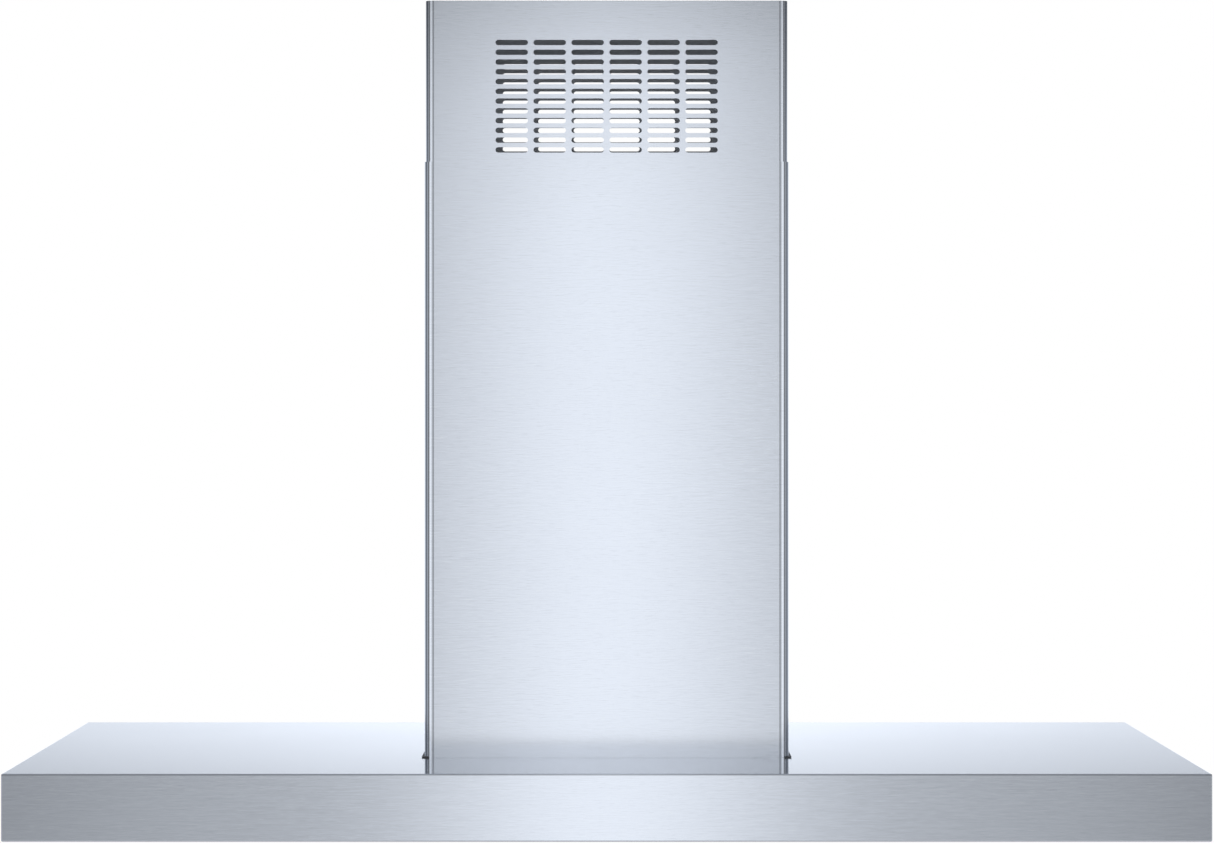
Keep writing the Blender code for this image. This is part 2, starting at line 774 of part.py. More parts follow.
def build_damper(body, side):
    """Half-round flap that lies flat when closed and lifts with the air."""
    radius = 70.5 * MM
    edge = 3.2 * MM
    lean = math.degrees(math.acos(edge / radius))
    outline = [(side * x, y) for x, y in arc((0, 0), radius, -lean, lean, 10)]
    half = 0.5 * MM
    flap = plate(outline, DAMPER_Z - half, DAMPER_Z + half)
    name = "damper_left" if side < 0 else "damper_right"
    add_piece(name, flap, "galvanised_steel", body)


def build_junction_box(hood):
    """Terminal box on the blower box, its lid, and the gland that takes the supply cable."""
    wall = 1.2 * MM
    half_x = 55 * MM
    half_y = 24 * MM
    centre = (0, -102 * MM)
    low = BOX_TOP + GAP
    high = 428 * MM
    tray = add_piece(
        "junction_box", plate(rectangle(half_x, half_y, centre), low, high), "painted_box", hood
    )
    inner = rectangle(half_x - wall, half_y - wall, centre)
    cut(tray, add_cutter("junction_hollow", plate(inner, low + wall, high + wall)))
    gland_centre = (centre[1], 410 * MM)
    entry = rod(6 * MM, half_x - 4 * MM, half_x + 4 * MM, "x", gland_centre, 12)
    cut(tray, add_cutter("gland_hole", entry))
    lid = plate(rectangle(half_x, half_y, centre), high + GAP, high + GAP + wall)
    add_piece("junction_box_lid", lid, "painted_box", hood)
    face = half_x + GAP
    profile = [
        (4.6 * MM, half_x - 5 * MM),
        (5.7 * MM, half_x - 5 * MM),
        (5.7 * MM, face),
        (9 * MM, face),
        (9 * MM, face + 6 * MM),
        (7.2 * MM, face + 7 * MM),
        (7.2 * MM, face + 15 * MM),
        (4.6 * MM, face + 15 * MM),
    ]
    add_piece("cable_gland", turned(profile, "x", gland_centre, 12), "dark_plastic", hood)


# ---------------------------------------------------------------- assembly

def main():
    clear_scene()
    for name in FINISHES:
        make_material(name)

    root = add_body("ceiling_frame_body", (0, 0, TOTAL_HEIGHT))
    build_ceiling_frame(root)
    build_upper_chimney(root)
    build_height_bolts(root)

    hood = add_body("hood_body", (0, 0, 0), root)
    build_canopy(hood)
    build_underside_panel(hood)
    build_lamps(hood)
    build_controls(hood)
    build_filters(hood)
    build_base_gasket(hood)
    build_lower_frame(hood)
    build_blower_box(hood)
    build_scroll(hood)
    build_motor(hood)
    build_outlet(hood)
    build_junction_box(hood)

    build_lower_chimney(add_body("lower_chimney_body", (0, 0, CANOPY_HEIGHT), hood))
    build_impeller(add_body("impeller_axis", (0, FAN_Y, FAN_Z), hood))
    for side in (-1, 1):
        name = "damper_left_axis" if side < 0 else "damper_right_axis"
        build_damper(add_body(name, (0, 0, DAMPER_Z), hood), side)


main()
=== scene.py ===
"""Looks of an island range hood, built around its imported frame.

Each piece or group of like pieces has its own operator in the sidebar's Hood tab.
"""

import json
import math

import bmesh
import bpy
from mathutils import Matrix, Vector


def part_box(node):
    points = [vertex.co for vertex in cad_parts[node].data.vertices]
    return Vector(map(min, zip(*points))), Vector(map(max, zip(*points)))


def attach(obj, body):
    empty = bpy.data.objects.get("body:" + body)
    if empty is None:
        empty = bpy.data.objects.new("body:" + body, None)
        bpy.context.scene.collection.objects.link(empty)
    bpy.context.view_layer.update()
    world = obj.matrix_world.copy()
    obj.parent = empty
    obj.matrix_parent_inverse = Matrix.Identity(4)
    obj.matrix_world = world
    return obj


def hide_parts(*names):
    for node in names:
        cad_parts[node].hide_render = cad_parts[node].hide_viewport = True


bl_info = {
    "name": "Island Range Hood",
    "version": (1, 0, 0),
    "blender": (4, 5, 0),
    "location": "3D View > Sidebar > Hood",
    "description": "Builds the finished pieces of an island range hood around its frame",
    "category": "Object",
}

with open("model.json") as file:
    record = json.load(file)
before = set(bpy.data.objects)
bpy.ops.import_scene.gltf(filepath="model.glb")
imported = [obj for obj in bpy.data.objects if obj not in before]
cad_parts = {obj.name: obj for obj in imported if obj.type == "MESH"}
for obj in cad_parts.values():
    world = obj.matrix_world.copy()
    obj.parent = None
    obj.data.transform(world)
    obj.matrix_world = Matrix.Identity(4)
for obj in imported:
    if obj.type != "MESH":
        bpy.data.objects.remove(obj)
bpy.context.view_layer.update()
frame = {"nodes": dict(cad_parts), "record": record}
MM = 0.001


# ==== node graphs

def math_method(operation):
    return lambda self, *others: self.graph.math(operation, self, *others)


class Wire:
    """A socket in a node graph. Arithmetic on numbers adds Math nodes."""

    def __init__(self, graph, socket):
        self.graph = graph
        self.socket = socket

    __add__ = __radd__ = math_method("ADD")
    __sub__ = math_method("SUBTRACT")
    __mul__ = __rmul__ = math_method("MULTIPLY")
    __truediv__ = math_method("DIVIDE")
    __pow__ = math_method("POWER")
    __gt__ = math_method("GREATER_THAN")
    __abs__ = math_method("ABSOLUTE")
    arcsine = math_method("ARCSINE")
    exponent = math_method("EXPONENT")
    at_least = math_method("MAXIMUM")
    at_most = math_method("MINIMUM")

    def __rsub__(self, other):
        return self.graph.math("SUBTRACT", other, self)

    def __neg__(self):
        return self * -1.0

    def clamped(self):
        return self.at_least(0.0).at_most(1.0)


def fill_ramp(ramp, stops):
    """Grey levels at their places on a colour ramp."""
    while len(ramp.elements) < len(stops):
        ramp.elements.new(1.0)
    for element, (place, level) in zip(ramp.elements, stops):
        element.position = place
        element.color = (level, level, level, 1.0)


class Graph:
    """Adds nodes to one node tree, for a material, a world or a geometry modifier."""

    def __init__(self, tree):
        self.tree = tree

    def feed(self, socket, value):
        if isinstance(value, Wire):
            self.tree.links.new(value.socket, socket)
        else:
            socket.default_value = value

    def node(self, kind, settings=None, inputs=None, output=0):
        """New node: its settings or stops first, then its sockets' values or links.

        A list of wires goes into one socket that takes several.
        """
        made = self.tree.nodes.new(kind)
        for name, value in (settings or {}).items():
            if name == "stops":
                fill_ramp(made.color_ramp, value)
            else:
                setattr(made, name, value)
        for key, value in (inputs or {}).items():
            for one in value if isinstance(value, list) else (value,):
                self.feed(made.inputs[key], one)
        return Wire(self, made.outputs[output]) if made.outputs else made

    def math(self, operation, *values):
        return self.node("ShaderNodeMath", {"operation": operation}, dict(enumerate(values)))


class Shader(Graph):
    """A material, or a world, with the patterns that the finishes share."""

    def __init__(self, owner):
        owner.use_nodes = True
        owner.node_tree.nodes.clear()
        super().__init__(owner.node_tree)
        self.owner = owner

    def ramp(self, factor, stops):
        return self.node("ShaderNodeValToRGB", {"stops": stops}, {"Fac": factor})

    def split(self, vector):
        first = self.node("ShaderNodeSeparateXYZ", None, {0: vector})
        return [Wire(self, output) for output in first.socket.node.outputs]

    def place(self, scale):
        """Object coordinates, stretched alike or by three numbers."""
        spot = self.node("ShaderNodeTexCoord", output="Object")
        stretch = scale if isinstance(scale, tuple) else (scale,) * 3
        return self.node("ShaderNodeMapping", None, {"Vector": spot, "Scale": stretch})

    def noise(self, scale, detail=2.0):
        return self.node(
            "ShaderNodeTexNoise", None,
            {"Vector": self.place(scale), "Scale": 1.0, "Detail": detail},
        )

    def cells(self, scale):
        """One random level for each cell of a crystal-like pattern."""
        found = self.node(
            "ShaderNodeTexVoronoi", None, {"Vector": self.place(scale), "Scale": 1.0}, "Color"
        )
        return self.split(found)[0]

    def tinted(self, colour, level):
        """A colour made lighter or darker by a number."""
        grey = self.node("ShaderNodeCombineXYZ", None, {0: level, 1: level, 2: level})
        return self.node(
            "ShaderNodeVectorMath", {"operation": "MULTIPLY"}, {0: tuple(colour), 1: grey}
        )

    def bump(self, height, distance):
        return self.node(
            "ShaderNodeBump", None, {"Height": height, "Distance": distance}, "Normal"
        )

    def principled(self, **inputs):
        """Closes a material with its surface shader and returns the material."""
        named = {name.replace("_", " "): value for name, value in inputs.items()}
        shader = self.node("ShaderNodeBsdfPrincipled", None, named)
        self.node("ShaderNodeOutputMaterial", None, {"Surface": shader})
        return self.owner


# ==== finishes

def length_setting(name, description, default):
    return bpy.props.FloatProperty(
        name=name, description=description, default=default, unit="LENGTH"
    )


def share_setting(name, description, default):
    return bpy.props.FloatProperty(
        name=name, description=description, default=default, min=0, max=1, subtype="FACTOR"
    )


def count_setting(name, description, default, least=1):
    return bpy.props.IntProperty(name=name, description=description, default=default, min=least)


class HoodFinish(bpy.types.PropertyGroup):
    """Colours and roughness of the hood's main surfaces."""

    steel: bpy.props.FloatVectorProperty(
        name="Steel", description="Colour of the stainless sheet",
        default=(0.800, 0.857, 0.955), size=3, subtype="COLOR", min=0, max=1,
    )
    wall_roughness: share_setting("Wall Roughness", "Roughness of the upright faces", 0.10)
    top_roughness: share_setting("Top Roughness", "Roughness of the canopy's top face", 0.09)
    grain: share_setting("Grain", "How strongly the brushing shows", 0.235)


def brushed_steel(name, scale, roughness, stretch, coarse):
    """Brushed stainless sheet; the scale sets the streaks' direction and fineness."""
    look = bpy.context.scene.hood_finish
    g = Shader(bpy.data.materials.new(name))
    streaks = g.noise(scale, 3.0)
    hairs = g.noise(tuple(s * 2.7 for s in scale))
    clouds = g.noise((7, 7, 9))
    bright = ((hairs - 0.57) * 5.0).clamped()
    dark = ((0.43 - hairs) * 5.0).clamped()
    grain = (streaks - 0.5) * 0.7 + (bright - dark) * 0.42
    scratch = ((hairs - 0.56) * 8.0).clamped()
    level = 1.0 + grain * look.grain + (clouds - 0.5) * 0.03
    rough = roughness + (streaks - 0.5) * 0.05 + (clouds - 0.5) * 0.03 + scratch * coarse
    return g.principled(
        Base_Color=g.tinted(look.steel, level),
        Metallic=1.0,
        Roughness=rough,
        Anisotropic=stretch,
        Anisotropic_Rotation=0.25,
        Normal=g.bump(grain, 0.003 * MM),
    )


def galvanised():
    """Zinc-coated sheet with its crystal spangle."""
    g = Shader(bpy.data.materials.new("galvanised_sheet"))
    spangle = g.cells(90)
    dust = g.noise(25, 3.0)
    return g.principled(
        Base_Color=g.tinted((0.60, 0.62, 0.65), 0.86 + spangle * 0.22 + (dust - 0.5) * 0.1),
        Metallic=1.0,
        Roughness=0.34 + spangle * 0.14,
        Normal=g.bump(dust, 0.05 * MM),
    )


def machined(name, colour, roughness):
    """Turned or ground metal with fine random scratches."""
    g = Shader(bpy.data.materials.new(name))
    fine, broad = g.noise(400), g.noise(30)
    return g.principled(
        Base_Color=g.tinted(colour, 0.94 + fine * 0.12),
        Metallic=1.0,
        Roughness=roughness + (broad - 0.5) * 0.12,
        Normal=g.bump(fine, 0.01 * MM),
    )


def moulded(name, colour, roughness, texture):
    """Moulded or coated surface with a fine pebbled texture."""
    g = Shader(bpy.data.materials.new(name))
    pebble, broad = g.noise(texture), g.noise(20)
    return g.principled(
        Base_Color=g.tinted(colour, 0.92 + broad * 0.16),
        Roughness=roughness + (broad - 0.5) * 0.1,
        Normal=g.bump(pebble, 0.04 * MM),
    )


def frosted():
    """Sand-blasted glass of the lamps' lenses."""
    g = Shader(bpy.data.materials.new("frosted_lens"))
    sparkle = g.noise(900, 1.0)
    return g.principled(
        Base_Color=g.tinted((0.93, 0.95, 0.97), 0.95 + sparkle * 0.08),
        Roughness=0.35 + sparkle * 0.1,
        Coat_Weight=0.4,
        Normal=g.bump(sparkle, 0.03 * MM),
    )


# Material slot of the record, and the finish that its nodes and pieces get.
SLOT_FINISHES = {
    "galvanised_steel": "galvanised",
    "zinc_bolt": "zinc",
    "dark_plastic": "plastic",
    "fan_plastic": "fan",
    "painted_box": "paint",
    "aluminium": "rail",
    "filter_mesh": "mesh",
    "frosted_lens": "lens",
    "button_steel": "button",
    "rubber": "rubber",
    "shaft_steel": "shaft",
    "brushed_steel": "panel",
}
FINISH_SLOTS = {finish: slot for slot, finish in SLOT_FINISHES.items()}
FINISH_SLOTS["wall"] = "brushed_steel"
MATERIALS = {}


def make_materials():
    """Makes every finish once, for the operators to share."""
    look = bpy.context.scene.hood_finish
    upright = (42, 42, 900)
    flat = (42, 900, 42)
    MATERIALS.update({
        "wall": brushed_steel("brushed_wall", upright, look.wall_roughness, 0.55, 0.02),
        "top": brushed_steel("brushed_top", flat, look.top_roughness, 0.0, 0.0),
        "panel": brushed_steel("brushed_panel", flat, 0.26, 0.0, 0.05),
        "inside": moulded("dull_sheet", (0.87, 0.90, 0.94), 0.55, 600),
        "galvanised": galvanised(),
        "zinc": machined("zinc_plate", (0.66, 0.67, 0.69), 0.3),
        "shaft": machined("ground_steel", (0.62, 0.62, 0.64), 0.18),
        "button": machined("satin_button", (0.70, 0.75, 0.83), 0.22),
        "rail": machined("satin_aluminium", (0.72, 0.75, 0.80), 0.34),
        "mesh": machined("mesh_aluminium", (0.66, 0.67, 0.69), 0.42),
        "plastic": moulded("dark_plastic", (0.035, 0.036, 0.040), 0.5, 1500),
        "fan": moulded("fan_plastic", (0.06, 0.06, 0.065), 0.45, 1200),
        "paint": moulded("grey_paint", (0.62, 0.63, 0.65), 0.45, 900),
        "rubber": moulded("seal_rubber", (0.26, 0.27, 0.29), 0.6, 700),
        "lens": frosted(),
    })


# ==== shapes

def mesh_of(name, bm):
    """Plain mesh of a bmesh, with its faces turned outwards."""
    bmesh.ops.recalc_face_normals(bm, faces=bm.faces[:])
    mesh = bpy.data.meshes.new(name)
    bm.to_mesh(mesh)
    bm.free()
    return mesh


def bmesh_of(mesh):
    """Takes a plain mesh back into a bmesh."""
    bm = bmesh.new()
    bm.from_mesh(mesh)
    bpy.data.meshes.remove(mesh)
    return bm


def evaluated_mesh(obj):
    """Plain mesh of an object as its modifiers leave it."""
    bpy.context.view_layer.update()
    evaluated = obj.evaluated_get(bpy.context.evaluated_depsgraph_get())
    return bpy.data.meshes.new_from_object(evaluated)


def flatten_shading(piece):
    """Keeps large flat faces flat beside small folds, with normals weighted by area."""
    modifier = piece.modifiers.new("weigh", "WEIGHTED_NORMAL")
    modifier.keep_sharp = True
    modifier.weight = 100
    before, weighed = piece.data, evaluated_mesh(piece)
    piece.modifiers.remove(modifier)
    piece.data = weighed
    name = before.name
    bpy.data.meshes.remove(before)
    weighed.name = name


def add_mesh(name, mesh, finish, body, replaced=None, smooth=30):
    """Named piece that rides on a body, with the finish's material; it may replace a node."""
    mesh.shade_smooth()
    mesh.set_sharp_from_angle(angle=math.radians(smooth))
    mesh.materials.clear()
    mesh.materials.append(MATERIALS[finish])
    mesh.polygons.foreach_set("material_index", [0] * len(mesh.polygons))
    piece = bpy.data.objects.new(name, mesh)
    bpy.context.collection.objects.link(piece)
    flatten_shading(piece)
    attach(piece, body)
    if replaced:
        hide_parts(replaced)
    return piece


def add_piece(name, bm, finish, body, replaced=None, smooth=30):
    return add_mesh(name, mesh_of(name, bm), finish, body, replaced, smooth)


def finish_faces(piece, finish, wanted):
    """Gives another finish to the faces that pass a test."""
    number = len(piece.data.materials)
    piece.data.materials.append(MATERIALS[finish])
    for face in piece.data.polygons:
        if wanted(face):
            face.material_index = number


CORNERS = ((-1, -1), (1, -1), (1, 1), (-1, 1))


def arc(centre, radius, start, end, steps):
    """Points from one angle to another, in degrees, ends included."""
    cx, cy = centre
    angles = [math.radians(start + (end - start) * i / steps) for i in range(steps + 1)]
    return [(cx + radius * math.cos(a), cy + radius * math.sin(a)) for a in angles]


def circle(radius, sides, centre=(0, 0), start=0):
    return arc(centre, radius, start, start + 360, sides)[:-1]


def rounded_rectangle(half_x, half_y, radius, steps, centre=(0, 0)):
    cx, cy = centre
    points = []
    for sx, sy, start in ((1, -1, 270), (1, 1, 0), (-1, 1, 90), (-1, -1, 180)):
        corner = (cx + sx * (half_x - radius), cy + sy * (half_y - radius))
        points += arc(corner, radius, start, start + 90, steps)
    return points


def at_height(outline, z):
    return [(x, y, z) for x, y in outline]


def spot(axis, u, v, w):
    """Point from outline coordinates u, v and the distance w along an axis."""
    return {"x": (w, u, v), "y": (u, w, v), "z": (u, v, w)}[axis]


def plate(outline, low, high, axis="z", holes=()):
    """Flat sheet of any outline, with holes, between two places along an axis."""
    bm = bmesh.new()
    for loop in (outline, *holes):
        verts = [bm.verts.new(spot(axis, u, v, low)) for u, v in loop]
        for first, second in zip(verts, verts[1:] + verts[:1]):
            bm.edges.new((first, second))
    bmesh.ops.triangle_fill(bm, edges=bm.edges[:], use_beauty=True)
    grown = bmesh.ops.extrude_face_region(bm, geom=bm.faces[:])
    moved = [item for item in grown["geom"] if isinstance(item, bmesh.types.BMVert)]
    bmesh.ops.translate(bm, verts=moved, vec=spot(axis, 0, 0, high - low))
    return bm


def skin(loops, capped=True):
    """Closed skin through loops of 3-D points, with end caps or joined last to first."""
    bm = bmesh.new()
    rows = [[bm.verts.new(point) for point in loop] for loop in loops]
    for row, after in zip(rows, rows[1:] if capped else rows[1:] + rows[:1]):
        for i in range(len(row)):
            j = (i + 1) % len(row)
            bm.faces.new((row[i], row[j], after[j], after[i]))
    if capped:
        bm.faces.new(rows[0])
        bm.faces.new(rows[-1])
    return bm


def loft(loops):
    """Closed skin whose last loop joins the first."""
    return skin(loops, capped=False)


def rings(profile, sides, axis="z", centre=(0, 0)):
    """Circles of a turned shape, from radii and places along the axis."""
    return [
        [spot(axis, u, v, w) for u, v in circle(radius, sides, centre)] for radius, w in profile
    ]


def turned(profile, sides, axis="z", centre=(0, 0)):
    """Solid of revolution with capped ends."""
    return skin(rings(profile, sides, axis, centre))


def turned_ring(profile, sides, axis="z", centre=(0, 0)):
    """Ring of revolution, open in the middle."""
    return loft(rings(profile, sides, axis, centre))


def soft_box(low, high, bevel, segments=2):
    """Box with rounded edges."""
    low, high = Vector(low), Vector(high)
    bm = bmesh.new()
    bmesh.ops.create_cube(bm, size=1.0)
    for vert in bm.verts:
        vert.co = (low + high) / 2 + Vector(a * b for a, b in zip(vert.co, high - low))
    bmesh.ops.bevel(
        bm, geom=bm.edges[:], offset=bevel, segments=segments, profile=0.5, affect="EDGES"
    )
    return bm


def side_middle(low, high):
    """Y and Z of a box's middle."""
    return ((low.y + high.y) / 2, (low.z + high.z) / 2)


def joined(*parts):
    """One bmesh from several."""
    bm = bmesh.new()
    for part in parts:
        mesh = mesh_of("part", part)
        bm.from_mesh(mesh)
        bpy.data.meshes.remove(mesh)
    return bm


def loose_object(name, bm):
    """Helper object that stays only while a piece is being made."""
    helper = bpy.data.objects.new(name, mesh_of(name, bm))
    bpy.context.collection.objects.link(helper)
    return helper


def carved(name, bm, *cutters):
    """Plain mesh of a body after every cutter has been taken out of it."""
    body = loose_object(name, bm)
    helpers = [loose_object("cutter", cutter) for cutter in cutters]
    for helper in helpers:
        modifier = body.modifiers.new("carve", "BOOLEAN")
        modifier.operation = "DIFFERENCE"
        modifier.solver = "EXACT"
        modifier.object = helper
    made = evaluated_mesh(body)
    body.modifiers.clear()
    for helper in (body, *helpers):
        bpy.data.objects.remove(helper)
    return made


# ==== geometry trees

class GeometryTree(Graph):
    """A geometry node group for one modifier, with named inputs and one for its finish."""

    def __init__(self, name, inputs):
        tree = bpy.data.node_groups.new(name, "GeometryNodeTree")
        super().__init__(tree)
        sockets = {"Geometry": ("Geometry", None), **inputs, "Finish": ("Material", None)}
        for label, (kind, value) in sockets.items():
            socket = tree.interface.new_socket(
                label, in_out="INPUT", socket_type="NodeSocket" + kind
            )
            if value is not None:
                socket.default_value = value
        tree.interface.new_socket(
            "Geometry", in_out="OUTPUT", socket_type="NodeSocketGeometry"
        )
        self.source = tree.nodes.new("NodeGroupInput")
        self.output = tree.nodes.new("NodeGroupOutput")

    def input(self, name):
        return Wire(self, self.source.outputs[name])

    def copies(self, points, name, **turned_by):
        """An input object's shape on every point."""
        shape = self.node(
            "GeometryNodeObjectInfo", None, {"Object": self.input(name)}, output="Geometry"
        )
        return self.node(
            "GeometryNodeInstanceOnPoints", None,
            {"Points": points, "Instance": shape, **turned_by},
        )

    def finish(self, geometry):
        real = self.node("GeometryNodeRealizeInstances", None, {0: geometry})
        painted = self.node(
            "GeometryNodeSetMaterial", None, {"Geometry": real, "Material": self.input("Finish")}
        )
        self.feed(self.output.inputs[0], painted)
        return self


def grown_mesh(name, group, finish, values, base=None):
    """Runs a geometry tree on a mesh, or on nothing, and returns the plain mesh."""
    values = {**values, "Finish": MATERIALS[finish]}
    mesh = base or bpy.data.meshes.new(name + "_base")
    holder = bpy.data.objects.new(name + "_holder", mesh)
    bpy.context.collection.objects.link(holder)
    modifier = holder.modifiers.new("grow", "NODES")
    modifier.node_group = group.tree
    for item in group.tree.interface.items_tree:
        if item.in_out == "INPUT" and item.name in values:
            modifier[item.identifier] = values[item.name]
    made = evaluated_mesh(holder)
    made.name = name
    holder.modifiers.remove(modifier)
    bpy.data.objects.remove(holder)
    return made


# ==== canopy

def fold_steps(radius, top, steps):
    """Insets and heights round a quarter fold between a top face and a wall."""
    points = []
    for i in range(steps + 1):
        angle = math.pi / 2 * i / steps
        points.append((radius * (1 - math.sin(angle)), top - radius * (1 - math.cos(angle))))
    return points


CANOPY_THROAT = (146 * MM, 123 * MM)


class HOOD_OT_canopy(bpy.types.Operator):
    """Folded slab of the canopy, with soft folds and ground corners"""

    bl_idname = "hood.canopy"
    bl_label = "Canopy"

    def execute(self, context):
        half_x, half_y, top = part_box("canopy_shell")[1]
        fold, sheet, lip, corner = 1.5 * MM, 1.2 * MM, 12 * MM, 0.6 * MM
        steps = 5

        def loop(inset, z, radius=corner):
            outline = rounded_rectangle(half_x - inset, half_y - inset, radius, steps)
            return at_height(outline, z)

        throat = rounded_rectangle(*CANOPY_THROAT, 2 * MM, steps)
        folded = fold_steps(fold, top, steps)
        bm = loft([
            at_height(throat, top),
            *(loop(inset, z) for inset, z in folded),
            *(loop(inset, fold - (z - (top - fold))) for inset, z in reversed(folded)),
            loop(lip, 0),
            loop(lip, sheet),
            loop(sheet, sheet, corner / 2),
            loop(sheet, top - sheet, corner / 2),
            at_height(throat, top - sheet),
        ])
        piece = add_piece("canopy", bm, "wall", "hood", "canopy_shell")
        finish_faces(piece, "top", lambda face: abs(face.normal.z) > 0.999)
        return {"FINISHED"}


# ==== chimney

CHIMNEY_CORNER = 9 * MM
CHIMNEY_SHEET = 0.8 * MM


def chimney_half(side, half_x, half_y, radius, low, high):
    """One folded half of a chimney tube; side is -1 for the front and 1 for the rear."""
    seam = 0.15 * MM
    steps = 12

    def run(inset):
        x = half_x - inset
        y = half_y - inset
        bend = radius - inset
        right = arc((x - bend, bend - y), bend, 0, -90, steps)
        left = arc((bend - x, bend - y), bend, -90, -180, steps)
        return [(x, -seam), *right, *left, (-x, -seam)]

    outline = run(0) + run(CHIMNEY_SHEET)[::-1]
    return plate([(x, -side * y) for x, y in outline], low, high)


def line_inside(piece, half_x, half_y):
    """Gives the faces that look into the tube the dull finish of unpolished sheet."""
    def inward(face):
        middle, facing = face.center, face.normal
        if abs(middle.y) / half_y > abs(middle.x) / half_x:
            return -facing.y * middle.y / half_y > 0.5
        return -facing.x * middle.x / half_x > 0.5

    finish_faces(piece, "inside", inward)


def raise_side_walls(bm, foot, gasket):
    """Lifts the foot of the side walls over the gasket that they stand on."""
    gap = 0.3 * MM
    reach = gasket[1].y + gap
    for side in (-1, 1):
        bmesh.ops.bisect_plane(
            bm, geom=bm.verts[:] + bm.edges[:] + bm.faces[:],
            plane_co=(0, side * reach, 0), plane_no=(0, 1, 0),
        )
    for vert in bm.verts:
        if abs(vert.co.z - foot) < gap / 3 and abs(vert.co.y) <= reach + gap / 3:
            vert.co.z = gasket[1].z + gap


class HOOD_OT_lower_chimney(bpy.types.Operator):
    """Two folded halves of the lower chimney"""

    bl_idname = "hood.lower_chimney"
    bl_label = "Lower Chimney"

    def execute(self, context):
        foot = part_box("canopy_shell")[1].z + 0.05 * MM
        for name, side in (("front", -1), ("rear", 1)):
            node = f"lower_chimney_{name}"
            low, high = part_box(node)
            depth = max(abs(low.y), abs(high.y))
            bm = chimney_half(side, high.x, depth, CHIMNEY_CORNER, foot, high.z)
            raise_side_walls(bm, foot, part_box("base_gasket"))
            piece = add_piece(f"{name}_lower_cover", bm, "wall", "lower_chimney", node)
            line_inside(piece, high.x, depth)
        return {"FINISHED"}


class VentSlots(bpy.types.PropertyGroup):
    """Sizes of the vent slots in the upper chimney."""

    columns: count_setting("Columns", "Slots in a row", 6)
    rows: count_setting("Rows", "Rows of slots", 12)
    length: length_setting("Length", "Slot length", 0.030)
    height: length_setting("Height", "Slot height", 0.005)
    pitch_x: length_setting("Pitch X", "Distance between columns", 0.035)
    pitch_z: length_setting("Pitch Z", "Distance between rows", 0.009)
    top_row: length_setting("Top Row", "Height of the top row's middle", 0.7194)


def slot_cut_tree():
    """Cuts a grid of round-ended slots through a sheet, along Y."""
    g = GeometryTree("vent_slots", {
        "Columns": ("Int", 6),
        "Rows": ("Int", 12),
        "Pitch X": ("Float", 0.035),
        "Pitch Z": ("Float", 0.009),
        "Middle Z": ("Float", 0.67),
        "Slot": ("Object", None),
    })
    columns = g.input("Columns")
    rows = g.input("Rows")
    grid = g.node("GeometryNodeMeshGrid", None, {
        "Size X": (columns - 1) * g.input("Pitch X"),
        "Size Y": (rows - 1) * g.input("Pitch Z"),
        "Vertices X": columns,
        "Vertices Y": rows,
    })
    upright = g.node("GeometryNodeTransform", None, {
        "Geometry": grid,
        "Rotation": (math.radians(90), 0, 0),
        "Translation": g.node("ShaderNodeCombineXYZ", None, {"Z": g.input("Middle Z")}),
    })
    cutters = g.node("GeometryNodeRealizeInstances", None, {0: g.copies(upright, "Slot")})
    holed = g.node(
        "GeometryNodeMeshBoolean", {"operation": "DIFFERENCE"},
        {"Mesh 1": g.input("Geometry"), "Mesh 2": cutters},
    )
    return g.finish(holed)


class HOOD_OT_upper_chimney(bpy.types.Operator):
    """Two folded halves of the upper chimney, with their vent slots cut by geometry nodes"""

    bl_idname = "hood.upper_chimney"
    bl_label = "Upper Chimney"

    def execute(self, context):
        vents = context.scene.hood_vents
        tree = slot_cut_tree()
        radius = vents.height / 2
        straight = vents.length / 2 - radius
        outline = arc((straight, 0), radius, -90, 90, 8) + arc((-straight, 0), radius, 90, 270, 8)
        past_walls = 0.2
        cutter = loose_object("slot_cutter", plate(outline, -past_walls, past_walls, "y"))
        for name, side in (("front", -1), ("rear", 1)):
            node = f"upper_chimney_{name}"
            cover = f"{name}_upper_cover"
            low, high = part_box(node)
            depth = max(abs(low.y), abs(high.y))
            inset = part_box("lower_chimney_front")[1].x - high.x
            bm = chimney_half(side, high.x, depth, CHIMNEY_CORNER - inset, low.z, high.z)
            made = grown_mesh(cover, tree, "wall", {
                "Columns": vents.columns,
                "Rows": vents.rows,
                "Pitch X": vents.pitch_x,
                "Pitch Z": vents.pitch_z,
                "Middle Z": vents.top_row - (vents.rows - 1) * vents.pitch_z / 2,
                "Slot": cutter,
            }, mesh_of(name, bm))
            piece = add_mesh(cover, made, "wall", "ceiling_frame", node)
            line_inside(piece, high.x, depth)
        bpy.data.objects.remove(cutter)
        return {"FINISHED"}


# ==== fasteners

def fastener_tree():
    """Puts one fastener on each point of a mesh, each turned by a random amount."""
    g = GeometryTree("fasteners", {
        "Fastener": ("Object", None),
        "Turn": ("Vector", (0, 0, 0)),
        "Seed": ("Int", 3),
    })
    spin = g.node(
        "FunctionNodeRandomValue", {"data_type": "FLOAT"},
        {2: 0.0, 3: math.tau, "Seed": g.input("Seed")}, output=1,
    )
    about = g.node("ShaderNodeCombineXYZ", None, {"Z": spin})
    turned_first = g.node(
        "FunctionNodeRotateEuler", {"space": "LOCAL"},
        {"Rotation": g.input("Turn"), "Rotate By": about},
    )
    return g.finish(g.copies(g.input("Geometry"), "Fastener", Rotation=turned_first))


def star(radius, inner, arms, count, z):
    """Loop that swings between two radii, for a screw's driving recess."""
    points = []
    for i in range(count):
        angle = math.tau * i / count
        wide = math.cos(arms * angle) > 0.3
        reach = radius if wide else inner
        points.append((reach * math.cos(angle), reach * math.sin(angle), z))
    return points


